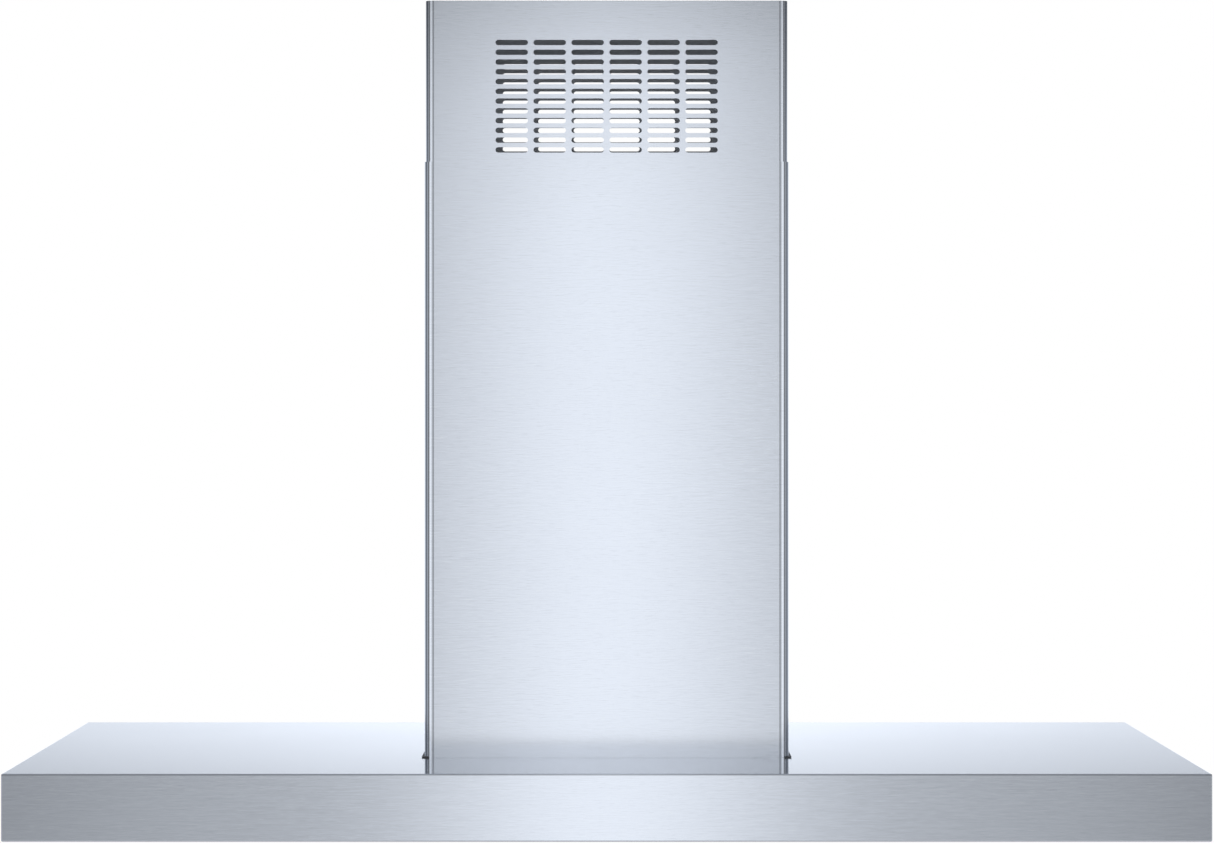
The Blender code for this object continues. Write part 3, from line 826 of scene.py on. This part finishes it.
def screw_head(radius, height):
    """Pan head with a cross recess, standing on Z = 0."""
    loops = rings([
        (radius, 0), (radius, height * 0.4), (radius * 0.9, height * 0.75), (radius * 0.7, height),
    ], 24)
    loops.append(star(radius * 0.56, radius * 0.2, 4, 24, height))
    loops.append(star(radius * 0.44, radius * 0.14, 4, 24, height * 0.35))
    return skin(loops)


def rivet_head(radius, height):
    """Low domed rivet with a dimple, standing on Z = 0."""
    return turned([
        (radius, 0), (radius * 0.96, height * 0.4), (radius * 0.8, height * 0.8),
        (radius * 0.5, height), (radius * 0.4, height), (radius * 0.34, height * 0.6),
    ], 20)


def bolt_head(radius, height):
    """Hexagonal head on a washer, standing on Z = 0."""
    brim = radius * 1.25
    washer = turned([(brim, 0), (brim, height * 0.15), (radius, height * 0.2)], 24)
    flat = [(radius * f, z) for f, z in ((1, 0.18), (1, 0.85), (0.88, 1.0))]
    return joined(washer, turned([(r, height * z) for r, z in flat], 6))


TURNS = {
    "up": (0, 0, 0),
    "down": (math.pi, 0, 0),
    "left": (0, -math.pi / 2, 0),
    "right": (0, math.pi / 2, 0),
    "front": (math.pi / 2, 0, 0),
    "rear": (-math.pi / 2, 0, 0),
}


class FastenerSizes(bpy.types.PropertyGroup):
    """Sizes of the screws, rivets and bolts."""

    screw: length_setting("Screw", "Radius of a screw head", 0.0034)
    rivet: length_setting("Rivet", "Radius of a rivet head", 0.0024)
    bolt: length_setting("Bolt", "Radius of a bolt head", 0.0048)
    seed: count_setting("Seed", "Seed of the turns", 5, 0)


def both(value):
    """A value with each sign."""
    return (-value, value)


RIVET_LEVELS = (0.09, 0.17, 0.25, 0.33, 0.375)


def fastener_rows():
    """Rows of fasteners: name, body, kind, way they face, and places."""
    rows = []

    def row(name, kind, way, spots, body="hood"):
        rows.append((name, body, kind, way, spots))

    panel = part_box("underside_panel")[0].z + 6.5 * MM
    edge = [(x, y, panel) for x in (-0.45, -0.15, 0.15, 0.45) for y in both(0.306)]
    edge += [(x, y, panel) for x in both(0.514) for y in (-0.2, 0.0, 0.2)]
    row("panel_screws", "screw", "down", edge)
    low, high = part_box("blower_box")
    for way, x in (("left", low.x), ("right", high.x)):
        spots = [(x, y, z) for y in both(0.118) for z in RIVET_LEVELS]
        row(f"box_rivets_{way}", "rivet", way, spots)
    for way, y in (("front", low.y), ("rear", high.y)):
        spots = [(x, y, z) for x in both(0.142) for z in RIVET_LEVELS]
        row(f"box_rivets_{way}", "rivet", way, spots)
    spots = [(x, y, high.z) for x in both(0.142) for y in (-0.06, 0.0, 0.06, 0.118)]
    row("box_top_rivets", "rivet", "up", spots)
    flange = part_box("outlet_transition")[0].z + MM
    spots = [(x, y, flange) for x in both(0.0675) for y in both(0.0675)]
    row("outlet_screws", "screw", "up", spots)
    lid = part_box("junction_box_lid")[1]
    row("lid_screws", "screw", "up", [(x, lid.y - 0.006, lid.z) for x in both(0.046)])
    low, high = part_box("upper_frame_band")
    height = (low.z + high.z) / 2
    sheet = 1.5 * MM
    for side, way, x in (("left", "right", low.x + sheet), ("right", "left", high.x - sheet)):
        spots = [(x, y, height) for y in both(0.1)]
        row(f"band_bolts_{side}", "rivet", way, spots, "ceiling_frame")
    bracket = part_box("ceiling_bracket")[0].z
    spots = [(x, y, bracket) for x in both(0.135) for y in both(0.06)]
    row("bracket_bolts", "rivet", "down", spots, "ceiling_frame")
    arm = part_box("motor_bracket")[1].x
    spots = [(arm, y, z) for y, z in circle(0.082, 3, (-0.007, 0.19), 90)]
    row("motor_bolts", "bolt", "right", spots)
    return rows


class HOOD_OT_fasteners(bpy.types.Operator):
    """Screws, rivets and bolts, placed by geometry nodes"""

    bl_idname = "hood.fasteners"
    bl_label = "Fasteners"

    def execute(self, context):
        sizes = context.scene.hood_fasteners
        tree = fastener_tree()
        shapes = {
            "screw": loose_object("screw", screw_head(sizes.screw, 1.4 * MM)),
            "rivet": loose_object("rivet", rivet_head(sizes.rivet, 0.8 * MM)),
            "bolt": loose_object("bolt", bolt_head(sizes.bolt, 3.2 * MM)),
        }
        for name, body, kind, way, spots in fastener_rows():
            points = bpy.data.meshes.new(name + "_points")
            points.from_pydata(spots, [], [])
            made = grown_mesh(name, tree, "zinc", {
                "Fastener": shapes[kind],
                "Turn": TURNS[way],
                "Seed": sizes.seed,
            }, points)
            add_mesh(name, made, "zinc", body)
        for shape in shapes.values():
            bpy.data.objects.remove(shape)
        return {"FINISHED"}


# ==== underside

LAMP_SPOTS = [(x * MM, y * MM) for y in (-262, 262) for x in (-300, 300)]
LAMP_HOLE = 31 * MM
FILTER_PORT = (435 * MM, 206 * MM)
CONTROL_SPOT = (0.0, -262 * MM)
CONTROL_HOLE = (88 * MM, 11 * MM)
CONTROL_PLATE = (95 * MM, 15 * MM)


class HOOD_OT_underside(bpy.types.Operator):
    """Folded panel that closes the canopy from below"""

    bl_idname = "hood.underside"
    bl_label = "Underside Panel"

    def execute(self, context):
        low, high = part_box("underside_panel")
        sheet, lip, chamfer, deck = MM, 1.4 * MM, 1.2 * MM, 9 * MM
        steps = 6
        port_x, port_y = FILTER_PORT

        def rim(inset):
            return rounded_rectangle(high.x - inset, high.y - inset, 3 * MM, steps)

        def port(grow):
            return rounded_rectangle(port_x + grow, port_y + grow, 2 * MM + grow, steps)

        skirt = loft([at_height(rim(inset), z) for inset, z in (
            (sheet, deck - sheet), (sheet, low.z), (0, low.z),
            (0, deck - chamfer), (0.5 * MM, deck - 0.3 * MM), (chamfer, deck),
        )])
        flange = loft([at_height(port(grow), z) for grow, z in (
            (0, deck - sheet + 0.6 * MM), (0.6 * MM, deck - sheet), (lip, deck - sheet),
            (sheet, deck), (sheet, high.z), (0, high.z),
        )])
        holes = [circle(LAMP_HOLE, 48, centre) for centre in LAMP_SPOTS]
        holes.append(rounded_rectangle(*CONTROL_HOLE, 3 * MM, steps, CONTROL_SPOT))
        holes.append(port(lip))
        panel = plate(rim(chamfer), deck - sheet, deck, holes=holes)
        bm = joined(panel, skirt, flange)
        add_piece("canopy_underside", bm, "panel", "hood", "underside_panel")
        return {"FINISHED"}


LAMP_SHELL = (
    (26.5, 0.5), (26.9, 0.1), (28.0, 0.0), (34.6, 0.0), (35.6, 0.3), (36.0, 1.0),
    (31.2, 1.0), (30.0, 2.6), (30.0, 12), (29.2, 12.5), (29.2, 14), (30.0, 14.5),
    (30.0, 20), (29.2, 20.5), (29.2, 22), (30.0, 22.5), (30.0, 30.3), (29.0, 31.3),
    (6.0, 31.3), (6.0, 29.3), (26.5, 29.3),
)
LAMP_CAP = ((6, 29.5), (6, 31.2), (5.4, 31.2))


class HOOD_OT_lamps(bpy.types.Operator):
    """Recessed lamps: turned bezel, reflector and housing, with a ribbed lens"""

    bl_idname = "hood.lamps"
    bl_label = "Lamps"

    def execute(self, context):
        sides = 64
        for number, centre in enumerate(LAMP_SPOTS, 1):
            housing, lens = f"lamp_housing_{number}", f"lamp_lens_{number}"
            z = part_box(housing)[0].z
            shell, cap = (
                make([(r * MM, z + h * MM) for r, h in profile], sides, "z", centre)
                for make, profile in ((turned_ring, LAMP_SHELL), (turned, LAMP_CAP))
            )
            add_piece(f"lamp_{number}", joined(shell, cap), "button", "hood", housing)
            foot, top = (corner.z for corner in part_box(lens))
            rib = 0.35 * MM
            face = [(26.2 * MM, top), (26.2 * MM, foot + 0.6 * MM), (25.6 * MM, foot)]
            for i in range(10):
                radius = (24.6 - 2.3 * i) * MM
                face += [
                    (radius, foot), (radius - 0.9 * MM, foot + rib), (radius - 1.5 * MM, foot),
                ]
            bm = turned(face, sides, "z", centre)
            add_piece(f"lens_{number}", bm, "lens", "hood", lens)
        return {"FINISHED"}


BUTTONS = {"power": -45 * MM, "slower": -15 * MM, "faster": 15 * MM, "light": 45 * MM}


class HOOD_OT_controls(bpy.types.Operator):
    """Button plate with its four push buttons"""

    bl_idname = "hood.controls"
    bl_label = "Controls"

    def execute(self, context):
        low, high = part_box("control_bezel")
        half_x, half_y = CONTROL_PLATE
        hole = 6.4 * MM
        bezel = skin([
            at_height(
                rounded_rectangle(half_x - inset, half_y - inset, 4 * MM, 6, CONTROL_SPOT), z
            )
            for inset, z in (
                (0, high.z), (0, low.z + 0.3 * MM), (0.3 * MM, low.z),
                (2 * MM, low.z), (2.3 * MM, low.z + 0.2 * MM),
            )
        ])
        drills = [
            turned([(hole, low.z - MM), (hole, high.z + MM)], 40, "z", (x, CONTROL_SPOT[1]))
            for x in BUTTONS.values()
        ]
        made = carved("button_plate", bezel, *drills)
        add_mesh("button_plate", made, "button", "hood", "control_bezel")
        for name, x in BUTTONS.items():
            node = f"button_{name}"
            foot, top = (corner.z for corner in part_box(node))
            bm = turned([
                (2.4 * MM, foot + 0.5 * MM), (4.2 * MM, foot + 0.3 * MM), (5.2 * MM, foot),
                (5.7 * MM, foot + 0.1 * MM), (6.0 * MM, foot + 0.5 * MM), (6.0 * MM, 8 * MM),
                (7.5 * MM, 8 * MM), (7.5 * MM, 9 * MM), (2.5 * MM, 9 * MM),
                (2.5 * MM, top - 0.3 * MM), (2.2 * MM, top),
            ], 40, "z", (x, CONTROL_SPOT[1]))
            add_piece(f"push_{name}", bm, "button", f"{name}_button", node)
        return {"FINISHED"}


# ==== grease filters

class FilterMesh(bpy.types.PropertyGroup):
    """Sizes of the filters' expanded mesh."""

    across: count_setting("Across", "Cells across", 36, 2)
    along: count_setting("Along", "Cells along", 62, 2)
    strand: length_setting("Strand", "Radius of a strand", 0.0005)
    layer: length_setting("Layer", "Distance between layers", 0.0011)


def expanded_mesh_tree():
    """Two crossed layers of six-sided expanded mesh inside a rectangle."""
    g = GeometryTree("expanded_mesh", {
        "Width": ("Float", 0.26),
        "Depth": ("Float", 0.37),
        "Across": ("Int", 36),
        "Along": ("Int", 62),
        "Strand": ("Float", 0.0005),
        "Layer": ("Float", 0.001),
        "Place": ("Vector", (0, 0, 0)),
    })
    grid = g.node("GeometryNodeMeshGrid", None, {
        "Size X": g.input("Width"),
        "Size Y": g.input("Depth"),
        "Vertices X": g.input("Across"),
        "Vertices Y": g.input("Along"),
    })
    triangles = g.node("GeometryNodeTriangulate", None, {0: grid})
    cells = g.node("GeometryNodeDualMesh", None, {0: triangles, "Keep Boundaries": True})
    curves = g.node("GeometryNodeMeshToCurve", None, {0: cells})
    profile = g.node(
        "GeometryNodeCurvePrimitiveCircle", {"mode": "RADIUS"},
        {"Resolution": 4, "Radius": g.input("Strand")}, output=0,
    )
    strands = g.node("GeometryNodeCurveToMesh", None, {"Curve": curves, "Profile Curve": profile})
    mirrored = g.node("GeometryNodeTransform", None, {
        "Geometry": strands,
        "Scale": (-1, 1, 1),
        "Translation": g.node("ShaderNodeCombineXYZ", None, {"Z": g.input("Layer")}),
    })
    facing = g.node("GeometryNodeFlipFaces", None, {0: mirrored})
    both_layers = g.node("GeometryNodeJoinGeometry", None, {0: [strands, facing]})
    placed = g.node("GeometryNodeTransform", None, {
        "Geometry": both_layers, "Translation": g.input("Place"),
    })
    return g.finish(placed)


class HOOD_OT_filters(bpy.types.Operator):
    """Grease filters: mitred rail frames, expanded mesh and sliding latches"""

    bl_idname = "hood.filters"
    bl_label = "Grease Filters"

    def execute(self, context):
        sizes = context.scene.hood_filter_mesh
        tree = expanded_mesh_tree()
        for number in (1, 2, 3):
            self.add_frame(number)
            node = f"filter_mesh_{number}"
            low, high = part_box(node)
            size, middle = high - low, (low + high) / 2
            margin = sizes.strand * 2.5
            made = grown_mesh(f"grease_mesh_{number}", tree, "mesh", {
                "Width": size.x - margin,
                "Depth": size.y - margin,
                "Across": sizes.across,
                "Along": sizes.along,
                "Strand": sizes.strand,
                "Layer": sizes.layer,
                "Place": (middle.x, middle.y, low.z + sizes.strand * 1.4),
            })
            add_mesh(f"grease_mesh_{number}", made, "mesh", f"filter_{number}", node)
            self.add_latch(number)
        return {"FINISHED"}

    def add_frame(self, number):
        node = f"filter_frame_{number}"
        low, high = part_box(node)
        cx = (low.x + high.x) / 2
        half_x, half_y = (high.x - low.x) / 2, (high.y - low.y) / 2
        open_x = 131 * MM
        open_low, open_high = low.y + 16 * MM, high.y - 12 * MM
        open_y, open_cy = (open_high - open_low) / 2, (open_high + open_low) / 2
        soft, edge = MM, 0.3 * MM

        def outer(inset, z):
            x, y = half_x - inset, half_y - inset
            return at_height(rounded_rectangle(x, y, 2.5 * MM, 4, (cx, 0)), z)

        def inner(grow, z):
            x, y = open_x + grow, open_y + grow
            return at_height(rounded_rectangle(x, y, 2 * MM, 4, (cx, open_cy)), z)

        ring = loft([
            outer(edge, low.z + edge), outer(0, low.z + soft), outer(0, high.z - soft),
            outer(edge, high.z - edge), outer(soft, high.z), inner(soft, high.z),
            inner(0, high.z - soft), inner(0, low.z + soft), inner(edge, low.z + edge),
            inner(soft, low.z), outer(soft, low.z),
        ])
        latch = [(cx + sx * 10.4 * MM, (sy * 5 - 194.4) * MM) for sx, sy in CORNERS]
        cutters = [plate(latch, low.z - MM, high.z + MM)]
        for sx, sy in CORNERS:
            corner = Vector((cx + sx * half_x, sy * half_y))
            inside = Vector((cx + sx * open_x, open_cy + sy * open_y))
            along = inside - corner
            side = Vector((-along.y, along.x)).normalized() * 0.15 * MM
            start, end = corner - along * 0.2, inside + along * 0.2
            groove = [start + side, end + side, end - side, start - side]
            cutters.append(plate(groove, low.z - MM, low.z + 0.3 * MM))
        name = f"grease_frame_{number}"
        add_mesh(name, carved(name, ring, *cutters), "rail", f"filter_{number}", node)

    def add_latch(self, number):
        node = f"filter_latch_{number}"
        low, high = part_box(node)
        soft, fine = 0.4 * MM, 0.1 * MM
        tongue = soft_box((low.x, low.y, 18.4 * MM), (high.x, -190 * MM, high.z), soft)
        stem = soft_box(
            (low.x, -199 * MM, 7.2 * MM), (high.x, -195 * MM, 18.8 * MM), soft / 2
        )
        grip = soft_box((low.x, -202 * MM, low.z), (high.x, -192 * MM, 7.6 * MM), soft)
        left, right = low.x + 2 * MM, high.x - 2 * MM
        grooves = [
            soft_box(
                (left, y * MM, low.z - MM), (right, y * MM + 0.7 * MM, low.z + 0.5 * MM), fine
            )
            for y in (-200.5, -199, -197.5, -196, -194.5)
        ]
        bm = joined(tongue, stem, bmesh_of(carved("grip", grip, *grooves)))
        add_piece(f"latch_slide_{number}", bm, "plastic", f"latch_{number}", node)


# ==== blower

class ImpellerBlades(bpy.types.PropertyGroup):
    """Sizes of the fan wheel's blades."""

    count: count_setting("Count", "Blades round the wheel", 36, 3)
    lean: bpy.props.FloatProperty(
        name="Lean", description="Turn of each blade's outer edge", default=0.16, subtype="ANGLE"
    )


def blade_tree():
    """Instances one blade round the X axis."""
    g = GeometryTree("fan_blades", {
        "Count": ("Int", 36),
        "Blade": ("Object", None),
    })
    count = g.input("Count")
    points = g.node("GeometryNodePoints", None, {"Count": count})
    number = g.node("GeometryNodeInputIndex")
    turn = g.node("ShaderNodeCombineXYZ", None, {"X": number * math.tau / count})
    return g.finish(g.copies(points, "Blade", Rotation=turn))


class HOOD_OT_impeller(bpy.types.Operator):
    """Double-inlet fan wheel with curved blades, rims, disc and hub"""

    bl_idname = "hood.impeller"
    bl_label = "Fan Wheel"

    def execute(self, context):
        blades = context.scene.hood_blades
        low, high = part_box("impeller")
        half = high.x
        inner, outer, thick = 72.3 * MM, 85.4 * MM, 0.9 * MM
        steps = 6
        curve = []
        for i in range(steps + 1):
            t = i / steps
            radius = inner + (outer - inner) * t
            angle = blades.lean * t * t
            curve.append((radius * math.cos(angle), radius * math.sin(angle)))
        outline = [(u, v - thick / 2) for u, v in curve]
        outline += [(u, v + thick / 2) for u, v in reversed(curve)]
        blade = loose_object("blade", plate(outline, -half + MM, half - MM, "x"))
        values = {"Count": blades.count, "Blade": blade}
        made = grown_mesh("fan_blades", blade_tree(), "fan", values)
        bpy.data.objects.remove(blade)
        parts = [bmesh_of(made)]
        for side in (-1, 1):
            rim = [
                (72, half - 3 * MM), (72, half - 0.4 * MM), (72.6, half), (85.4, half),
                (86, half - 0.4 * MM), (86, half - 3 * MM), (85.4, half - 3.4 * MM),
                (72.6, half - 3.4 * MM),
            ]
            parts.append(turned_ring([(r * MM, side * x) for r, x in rim], 72, "x"))
        disc = [
            (85.8, 1.0), (78, 1.5), (30, 1.5), (24, 3.0), (16, 4.0), (14.4, 6.0),
            (14, 14), (13.2, 14), (5.5, 14), (5.3, 14),
        ]
        disc += [(r, -x) for r, x in reversed(disc)]
        parts.append(turned_ring([(r * MM, x * MM) for r, x in disc], 72, "x"))
        bm = joined(*parts)
        bmesh.ops.translate(bm, verts=bm.verts[:], vec=(0, *side_middle(low, high)))
        add_piece("fan_wheel_body", bm, "fan", "fan_wheel", "impeller")
        return {"FINISHED"}


class HOOD_OT_motor(bpy.types.Operator):
    """Motor can with cooling ribs, slots in its end and a boss"""

    bl_idname = "hood.motor"
    bl_label = "Motor"

    def execute(self, context):
        low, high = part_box("motor")
        centre = side_middle(low, high)
        reach = (high.y - low.y) / 2
        x, end = low.x, high.x
        profile = [
            (reach * 0.5, x), (reach - 3 * MM, x), (reach - MM, x + 0.6 * MM),
            (reach, x + 2 * MM),
        ]
        valley = reach - 1.2 * MM
        for i in range(6):
            start = x + (8 + 6 * i) * MM
            profile += [
                (reach, start), (valley, start + 0.8 * MM),
                (valley, start + 2.2 * MM), (reach, start + 3 * MM),
            ]
        profile += [
            (reach, end - 6 * MM), (reach - MM, end - 4.5 * MM), (reach - 6 * MM, end - 3 * MM),
            (reach * 0.45, end - 2.6 * MM), (reach * 0.40, end), (reach * 0.2, end),
        ]
        slots = []
        for u, v in circle(reach, 12):
            middle = Vector((centre[0] + u * 0.66, centre[1] + v * 0.66))
            along = Vector((u, v)) * 0.15
            side = Vector((-v, u)) / reach * 1.6 * MM
            corners = (along + side, -along + side, -along - side, along - side)
            outline = [middle + corner for corner in corners]
            slots.append(plate(outline, end - 5 * MM, end + MM, "x"))
        made = carved("motor_can", turned(profile, 64, "x", centre), *slots)
        add_mesh("motor_can", made, "paint", "hood", "motor")
        return {"FINISHED"}


class HOOD_OT_outlet(bpy.types.Operator):
    """Duct collar with a rolled bead"""

    bl_idname = "hood.outlet"
    bl_label = "Duct Collar"

    def execute(self, context):
        low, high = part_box("outlet_collar")
        reach = high.x
        bead = (low.z + high.z) / 2 + 20 * MM
        outer = [(reach, low.z), (reach, bead - 4 * MM)]
        for i in range(1, 8):
            swell = 1.6 * MM * math.sin(math.pi * i / 8)
            outer.append((reach + swell, bead + (i - 4) * MM))
        outer += [(reach, bead + 4 * MM), (reach, high.z - 0.4 * MM), (reach - 0.4 * MM, high.z)]
        inner = [(r - MM, z) for r, z in reversed(outer[:-2])]
        bm = turned_ring(outer + [(reach - MM, high.z)] + inner, 72)
        add_piece("duct_collar", bm, "galvanised", "hood", "outlet_collar", 40)
        return {"FINISHED"}


class HOOD_OT_gland(bpy.types.Operator):
    """Cable gland with its six-sided nut"""

    bl_idname = "hood.gland"
    bl_label = "Cable Gland"

    def execute(self, context):
        low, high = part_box("cable_gland")
        centre = side_middle(low, high)
        reach = (high.y - low.y) / 2
        bore, thread, hub = 4.6 * MM, 6 * MM, reach - 1.5 * MM
        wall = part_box("junction_box")[1].x
        body = turned_ring([
            (bore, low.x), (bore + MM, low.x), (thread, low.x + 0.3 * MM),
            (thread, wall + 0.3 * MM), (hub, wall + 0.3 * MM), (hub, high.x - 4 * MM),
            (6.2 * MM, high.x - 0.8 * MM), (5.6 * MM, high.x), (bore, high.x),
        ], 48, "x", centre)
        nut = turned_ring([
            (6.5 * MM, wall + 0.4 * MM), (reach, wall + 0.4 * MM), (reach, wall + 5.5 * MM),
            (reach - 0.8 * MM, wall + 6.2 * MM), (6.5 * MM, wall + 6.2 * MM),
        ], 6, "x", centre)
        add_piece("cable_entry", joined(body, nut), "plastic", "hood", "cable_gland")
        return {"FINISHED"}


# ==== carried-over nodes

class HOOD_OT_node_finishes(bpy.types.Operator):
    """Finishes of the frame's own pieces that stay in view"""

    bl_idname = "hood.node_finishes"
    bl_label = "Frame Finishes"

    def execute(self, context):
        slots = {part["node"]: part["material_slot"] for part in frame["record"]["subparts"]}
        for name, node in frame["nodes"].items():
            node.data.materials.clear()
            node.data.materials.append(MATERIALS[SLOT_FINISHES[slots[name]]])
        return {"FINISHED"}


# ==== stage

class HoodStudio(bpy.types.PropertyGroup):
    """Light and camera of the studio."""

    brightness: bpy.props.FloatProperty(
        name="Brightness", description="Strength of the studio's soft light",
        default=1.0, min=0,
    )
    floor_drop: length_setting("Floor Drop", "Height of the hood above the floor", 0.9)
    floor_radius: length_setting("Floor Radius", "Reach of the floor", 2.5)
    camera_distance: length_setting(
        "Camera Distance", "From the hood's middle to the camera", 4.2205
    )
    camera_height: length_setting("Camera Height", "Height of the camera", 0.3784)
    lens: bpy.props.FloatProperty(
        name="Lens", description="Focal length", default=131.15, unit="CAMERA",
    )


# Brightness by degrees off the camera's side, all the way round to straight behind.
PANELS = (
    (0, 0.50), (5, 0.46), (6.2, 0.44), (8.3, 0.31), (12, 0.32), (22, 0.48), (34, 0.82),
    (46, 1.05), (54, 0.80), (62, 0.33), (73, 0.12), (89, 0.42), (106, 0.08), (129, 0.30),
    (150, 0.62), (170, 0.85), (173, 0.96), (177.5, 1.21), (180, 1.30),
)
# Share of that brightness by degrees above the horizon, before and behind the hood.
FRONT_RISE = ((-30, 0.85), (-8, 1.0), (5.3, 1.0), (5.8, 0.20), (14, 0.25), (30, 0.60))
REAR_RISE = ((-10, 1.0), (2.4, 1.0), (3.7, 0.84), (5.25, 0.26), (30, 0.40))
KEY_WIDTH, KEY_STRENGTH, REAR_STRENGTH = 2.3, 0.57, 1.31


def by_degrees(g, degrees, table):
    """Level at an angle, from a table of angles and levels."""
    first, last = table[0][0], table[-1][0]
    span = last - first
    stops = [((angle - first) / span, level) for angle, level in table]
    return g.ramp((degrees - first) / span, stops)


def make_world(studio):
    """Soft light all round: a key strip behind the camera, side panels and a rear wall."""
    world = bpy.data.worlds.new("studio")
    bpy.context.scene.world = world
    g = Shader(world)
    x, y, z = g.split(g.node("ShaderNodeTexCoord", output="Generated"))
    turn = abs(g.math("ARCTAN2", x, -y)) * (180 / math.pi)
    rise = z.arcsine() * (180 / math.pi)
    panels = by_degrees(g, turn, PANELS)
    key = (-((turn / KEY_WIDTH) ** 2.0)).exponent() * KEY_STRENGTH
    front = (panels + key) * by_degrees(g, rise, FRONT_RISE)
    behind = by_degrees(g, rise, REAR_RISE) * REAR_STRENGTH
    cool = g.tinted((0.94, 0.99, 1.07), panels * behind)
    white = (1, 1, 1, 1)
    before, after, seen = (
        g.node("ShaderNodeBackground", None, {"Color": colour, "Strength": strength})
        for colour, strength in (
            (front, studio.brightness), (cool, studio.brightness), (white, 1.0)
        )
    )
    light = g.node("ShaderNodeMixShader", None, {0: y > 0.0, 1: before, 2: after})
    direct = g.node("ShaderNodeLightPath", output="Is Camera Ray")
    mixed = g.node("ShaderNodeMixShader", None, {0: direct, 1: light, 2: seen})
    g.node("ShaderNodeOutputWorld", None, {"Surface": mixed})


def make_floor(studio):
    """Plain pale floor that gives light upwards and is clear from below."""
    bm = bmesh.new()
    bmesh.ops.create_circle(bm, cap_ends=True, segments=64, radius=studio.floor_radius)
    bmesh.ops.translate(bm, verts=bm.verts[:], vec=(0, 0, -studio.floor_drop))
    for face in bm.faces:
        if face.normal.z < 0:
            face.normal_flip()
    mesh = bpy.data.meshes.new("floor")
    bm.to_mesh(mesh)
    bm.free()
    g = Shader(bpy.data.materials.new("pale_floor"))
    direct = g.node("ShaderNodeLightPath", output="Is Camera Ray")
    pale = g.node(
        "ShaderNodeEmission", None, {"Color": (1, 1, 1, 1), "Strength": 0.5 + direct * 0.5}
    )
    clear = g.node("ShaderNodeBsdfTransparent")
    back = g.node("ShaderNodeNewGeometry", output="Backfacing")
    mixed = g.node("ShaderNodeMixShader", None, {0: back, 1: pale, 2: clear})
    g.node("ShaderNodeOutputMaterial", None, {"Surface": mixed})
    mesh.materials.append(g.owner)
    floor = bpy.data.objects.new("floor", mesh)
    bpy.context.collection.objects.link(floor)


def make_camera(studio):
    data = bpy.data.cameras.new("camera")
    data.sensor_width = 36
    data.lens = studio.lens
    data.shift_x = 0.0003
    data.shift_y = -0.0075
    camera = bpy.data.objects.new("camera", data)
    camera.location = (0, -studio.camera_distance, studio.camera_height)
    camera.rotation_euler = (math.radians(90), 0, 0)
    bpy.context.collection.objects.link(camera)
    bpy.context.scene.camera = camera


class HOOD_OT_stage(bpy.types.Operator):
    """Camera, pale floor and soft studio light"""

    bl_idname = "hood.stage"
    bl_label = "Stage"

    def execute(self, context):
        studio = context.scene.hood_studio
        context.scene.view_settings.view_transform = "Standard"
        make_camera(studio)
        make_world(studio)
        make_floor(studio)
        return {"FINISHED"}


# ==== panel and registration

class HOOD_PT_pieces(bpy.types.Panel):
    """Lists the hood's settings and the pieces that can be built"""

    bl_label = "Island Range Hood"
    bl_idname = "HOOD_PT_pieces"
    bl_space_type = "VIEW_3D"
    bl_region_type = "UI"
    bl_category = "Hood"

    def draw(self, context):
        scene = context.scene
        for group in (getattr(scene, name) for name in GROUPS):
            box = self.layout.box()
            for name in group.__annotations__:
                box.prop(group, name)
        for operator in OPERATORS:
            self.layout.operator(operator.bl_idname)


OPERATORS = (
    HOOD_OT_stage,
    HOOD_OT_node_finishes,
    HOOD_OT_canopy,
    HOOD_OT_lower_chimney,
    HOOD_OT_upper_chimney,
    HOOD_OT_underside,
    HOOD_OT_lamps,
    HOOD_OT_controls,
    HOOD_OT_filters,
    HOOD_OT_impeller,
    HOOD_OT_motor,
    HOOD_OT_outlet,
    HOOD_OT_gland,
    HOOD_OT_fasteners,
)
GROUPS = {
    "hood_finish": HoodFinish,
    "hood_vents": VentSlots,
    "hood_filter_mesh": FilterMesh,
    "hood_blades": ImpellerBlades,
    "hood_fasteners": FastenerSizes,
    "hood_studio": HoodStudio,
}


def register():
    for group in GROUPS.values():
        bpy.utils.register_class(group)
    for name, group in GROUPS.items():
        setattr(bpy.types.Scene, name, bpy.props.PointerProperty(type=group))
    for operator in OPERATORS:
        bpy.utils.register_class(operator)
    bpy.utils.register_class(HOOD_PT_pieces)


def unregister():
    bpy.utils.unregister_class(HOOD_PT_pieces)
    for operator in reversed(OPERATORS):
        bpy.utils.unregister_class(operator)
    for name in GROUPS:
        delattr(bpy.types.Scene, name)
    for group in reversed(GROUPS.values()):
        bpy.utils.unregister_class(group)


def main():
    """Builds the whole hood."""
    register()
    make_materials()
    for operator in OPERATORS:
        module, name = operator.bl_idname.split(".")
        getattr(getattr(bpy.ops, module), name)()


if __name__ == "__main__":
    main()
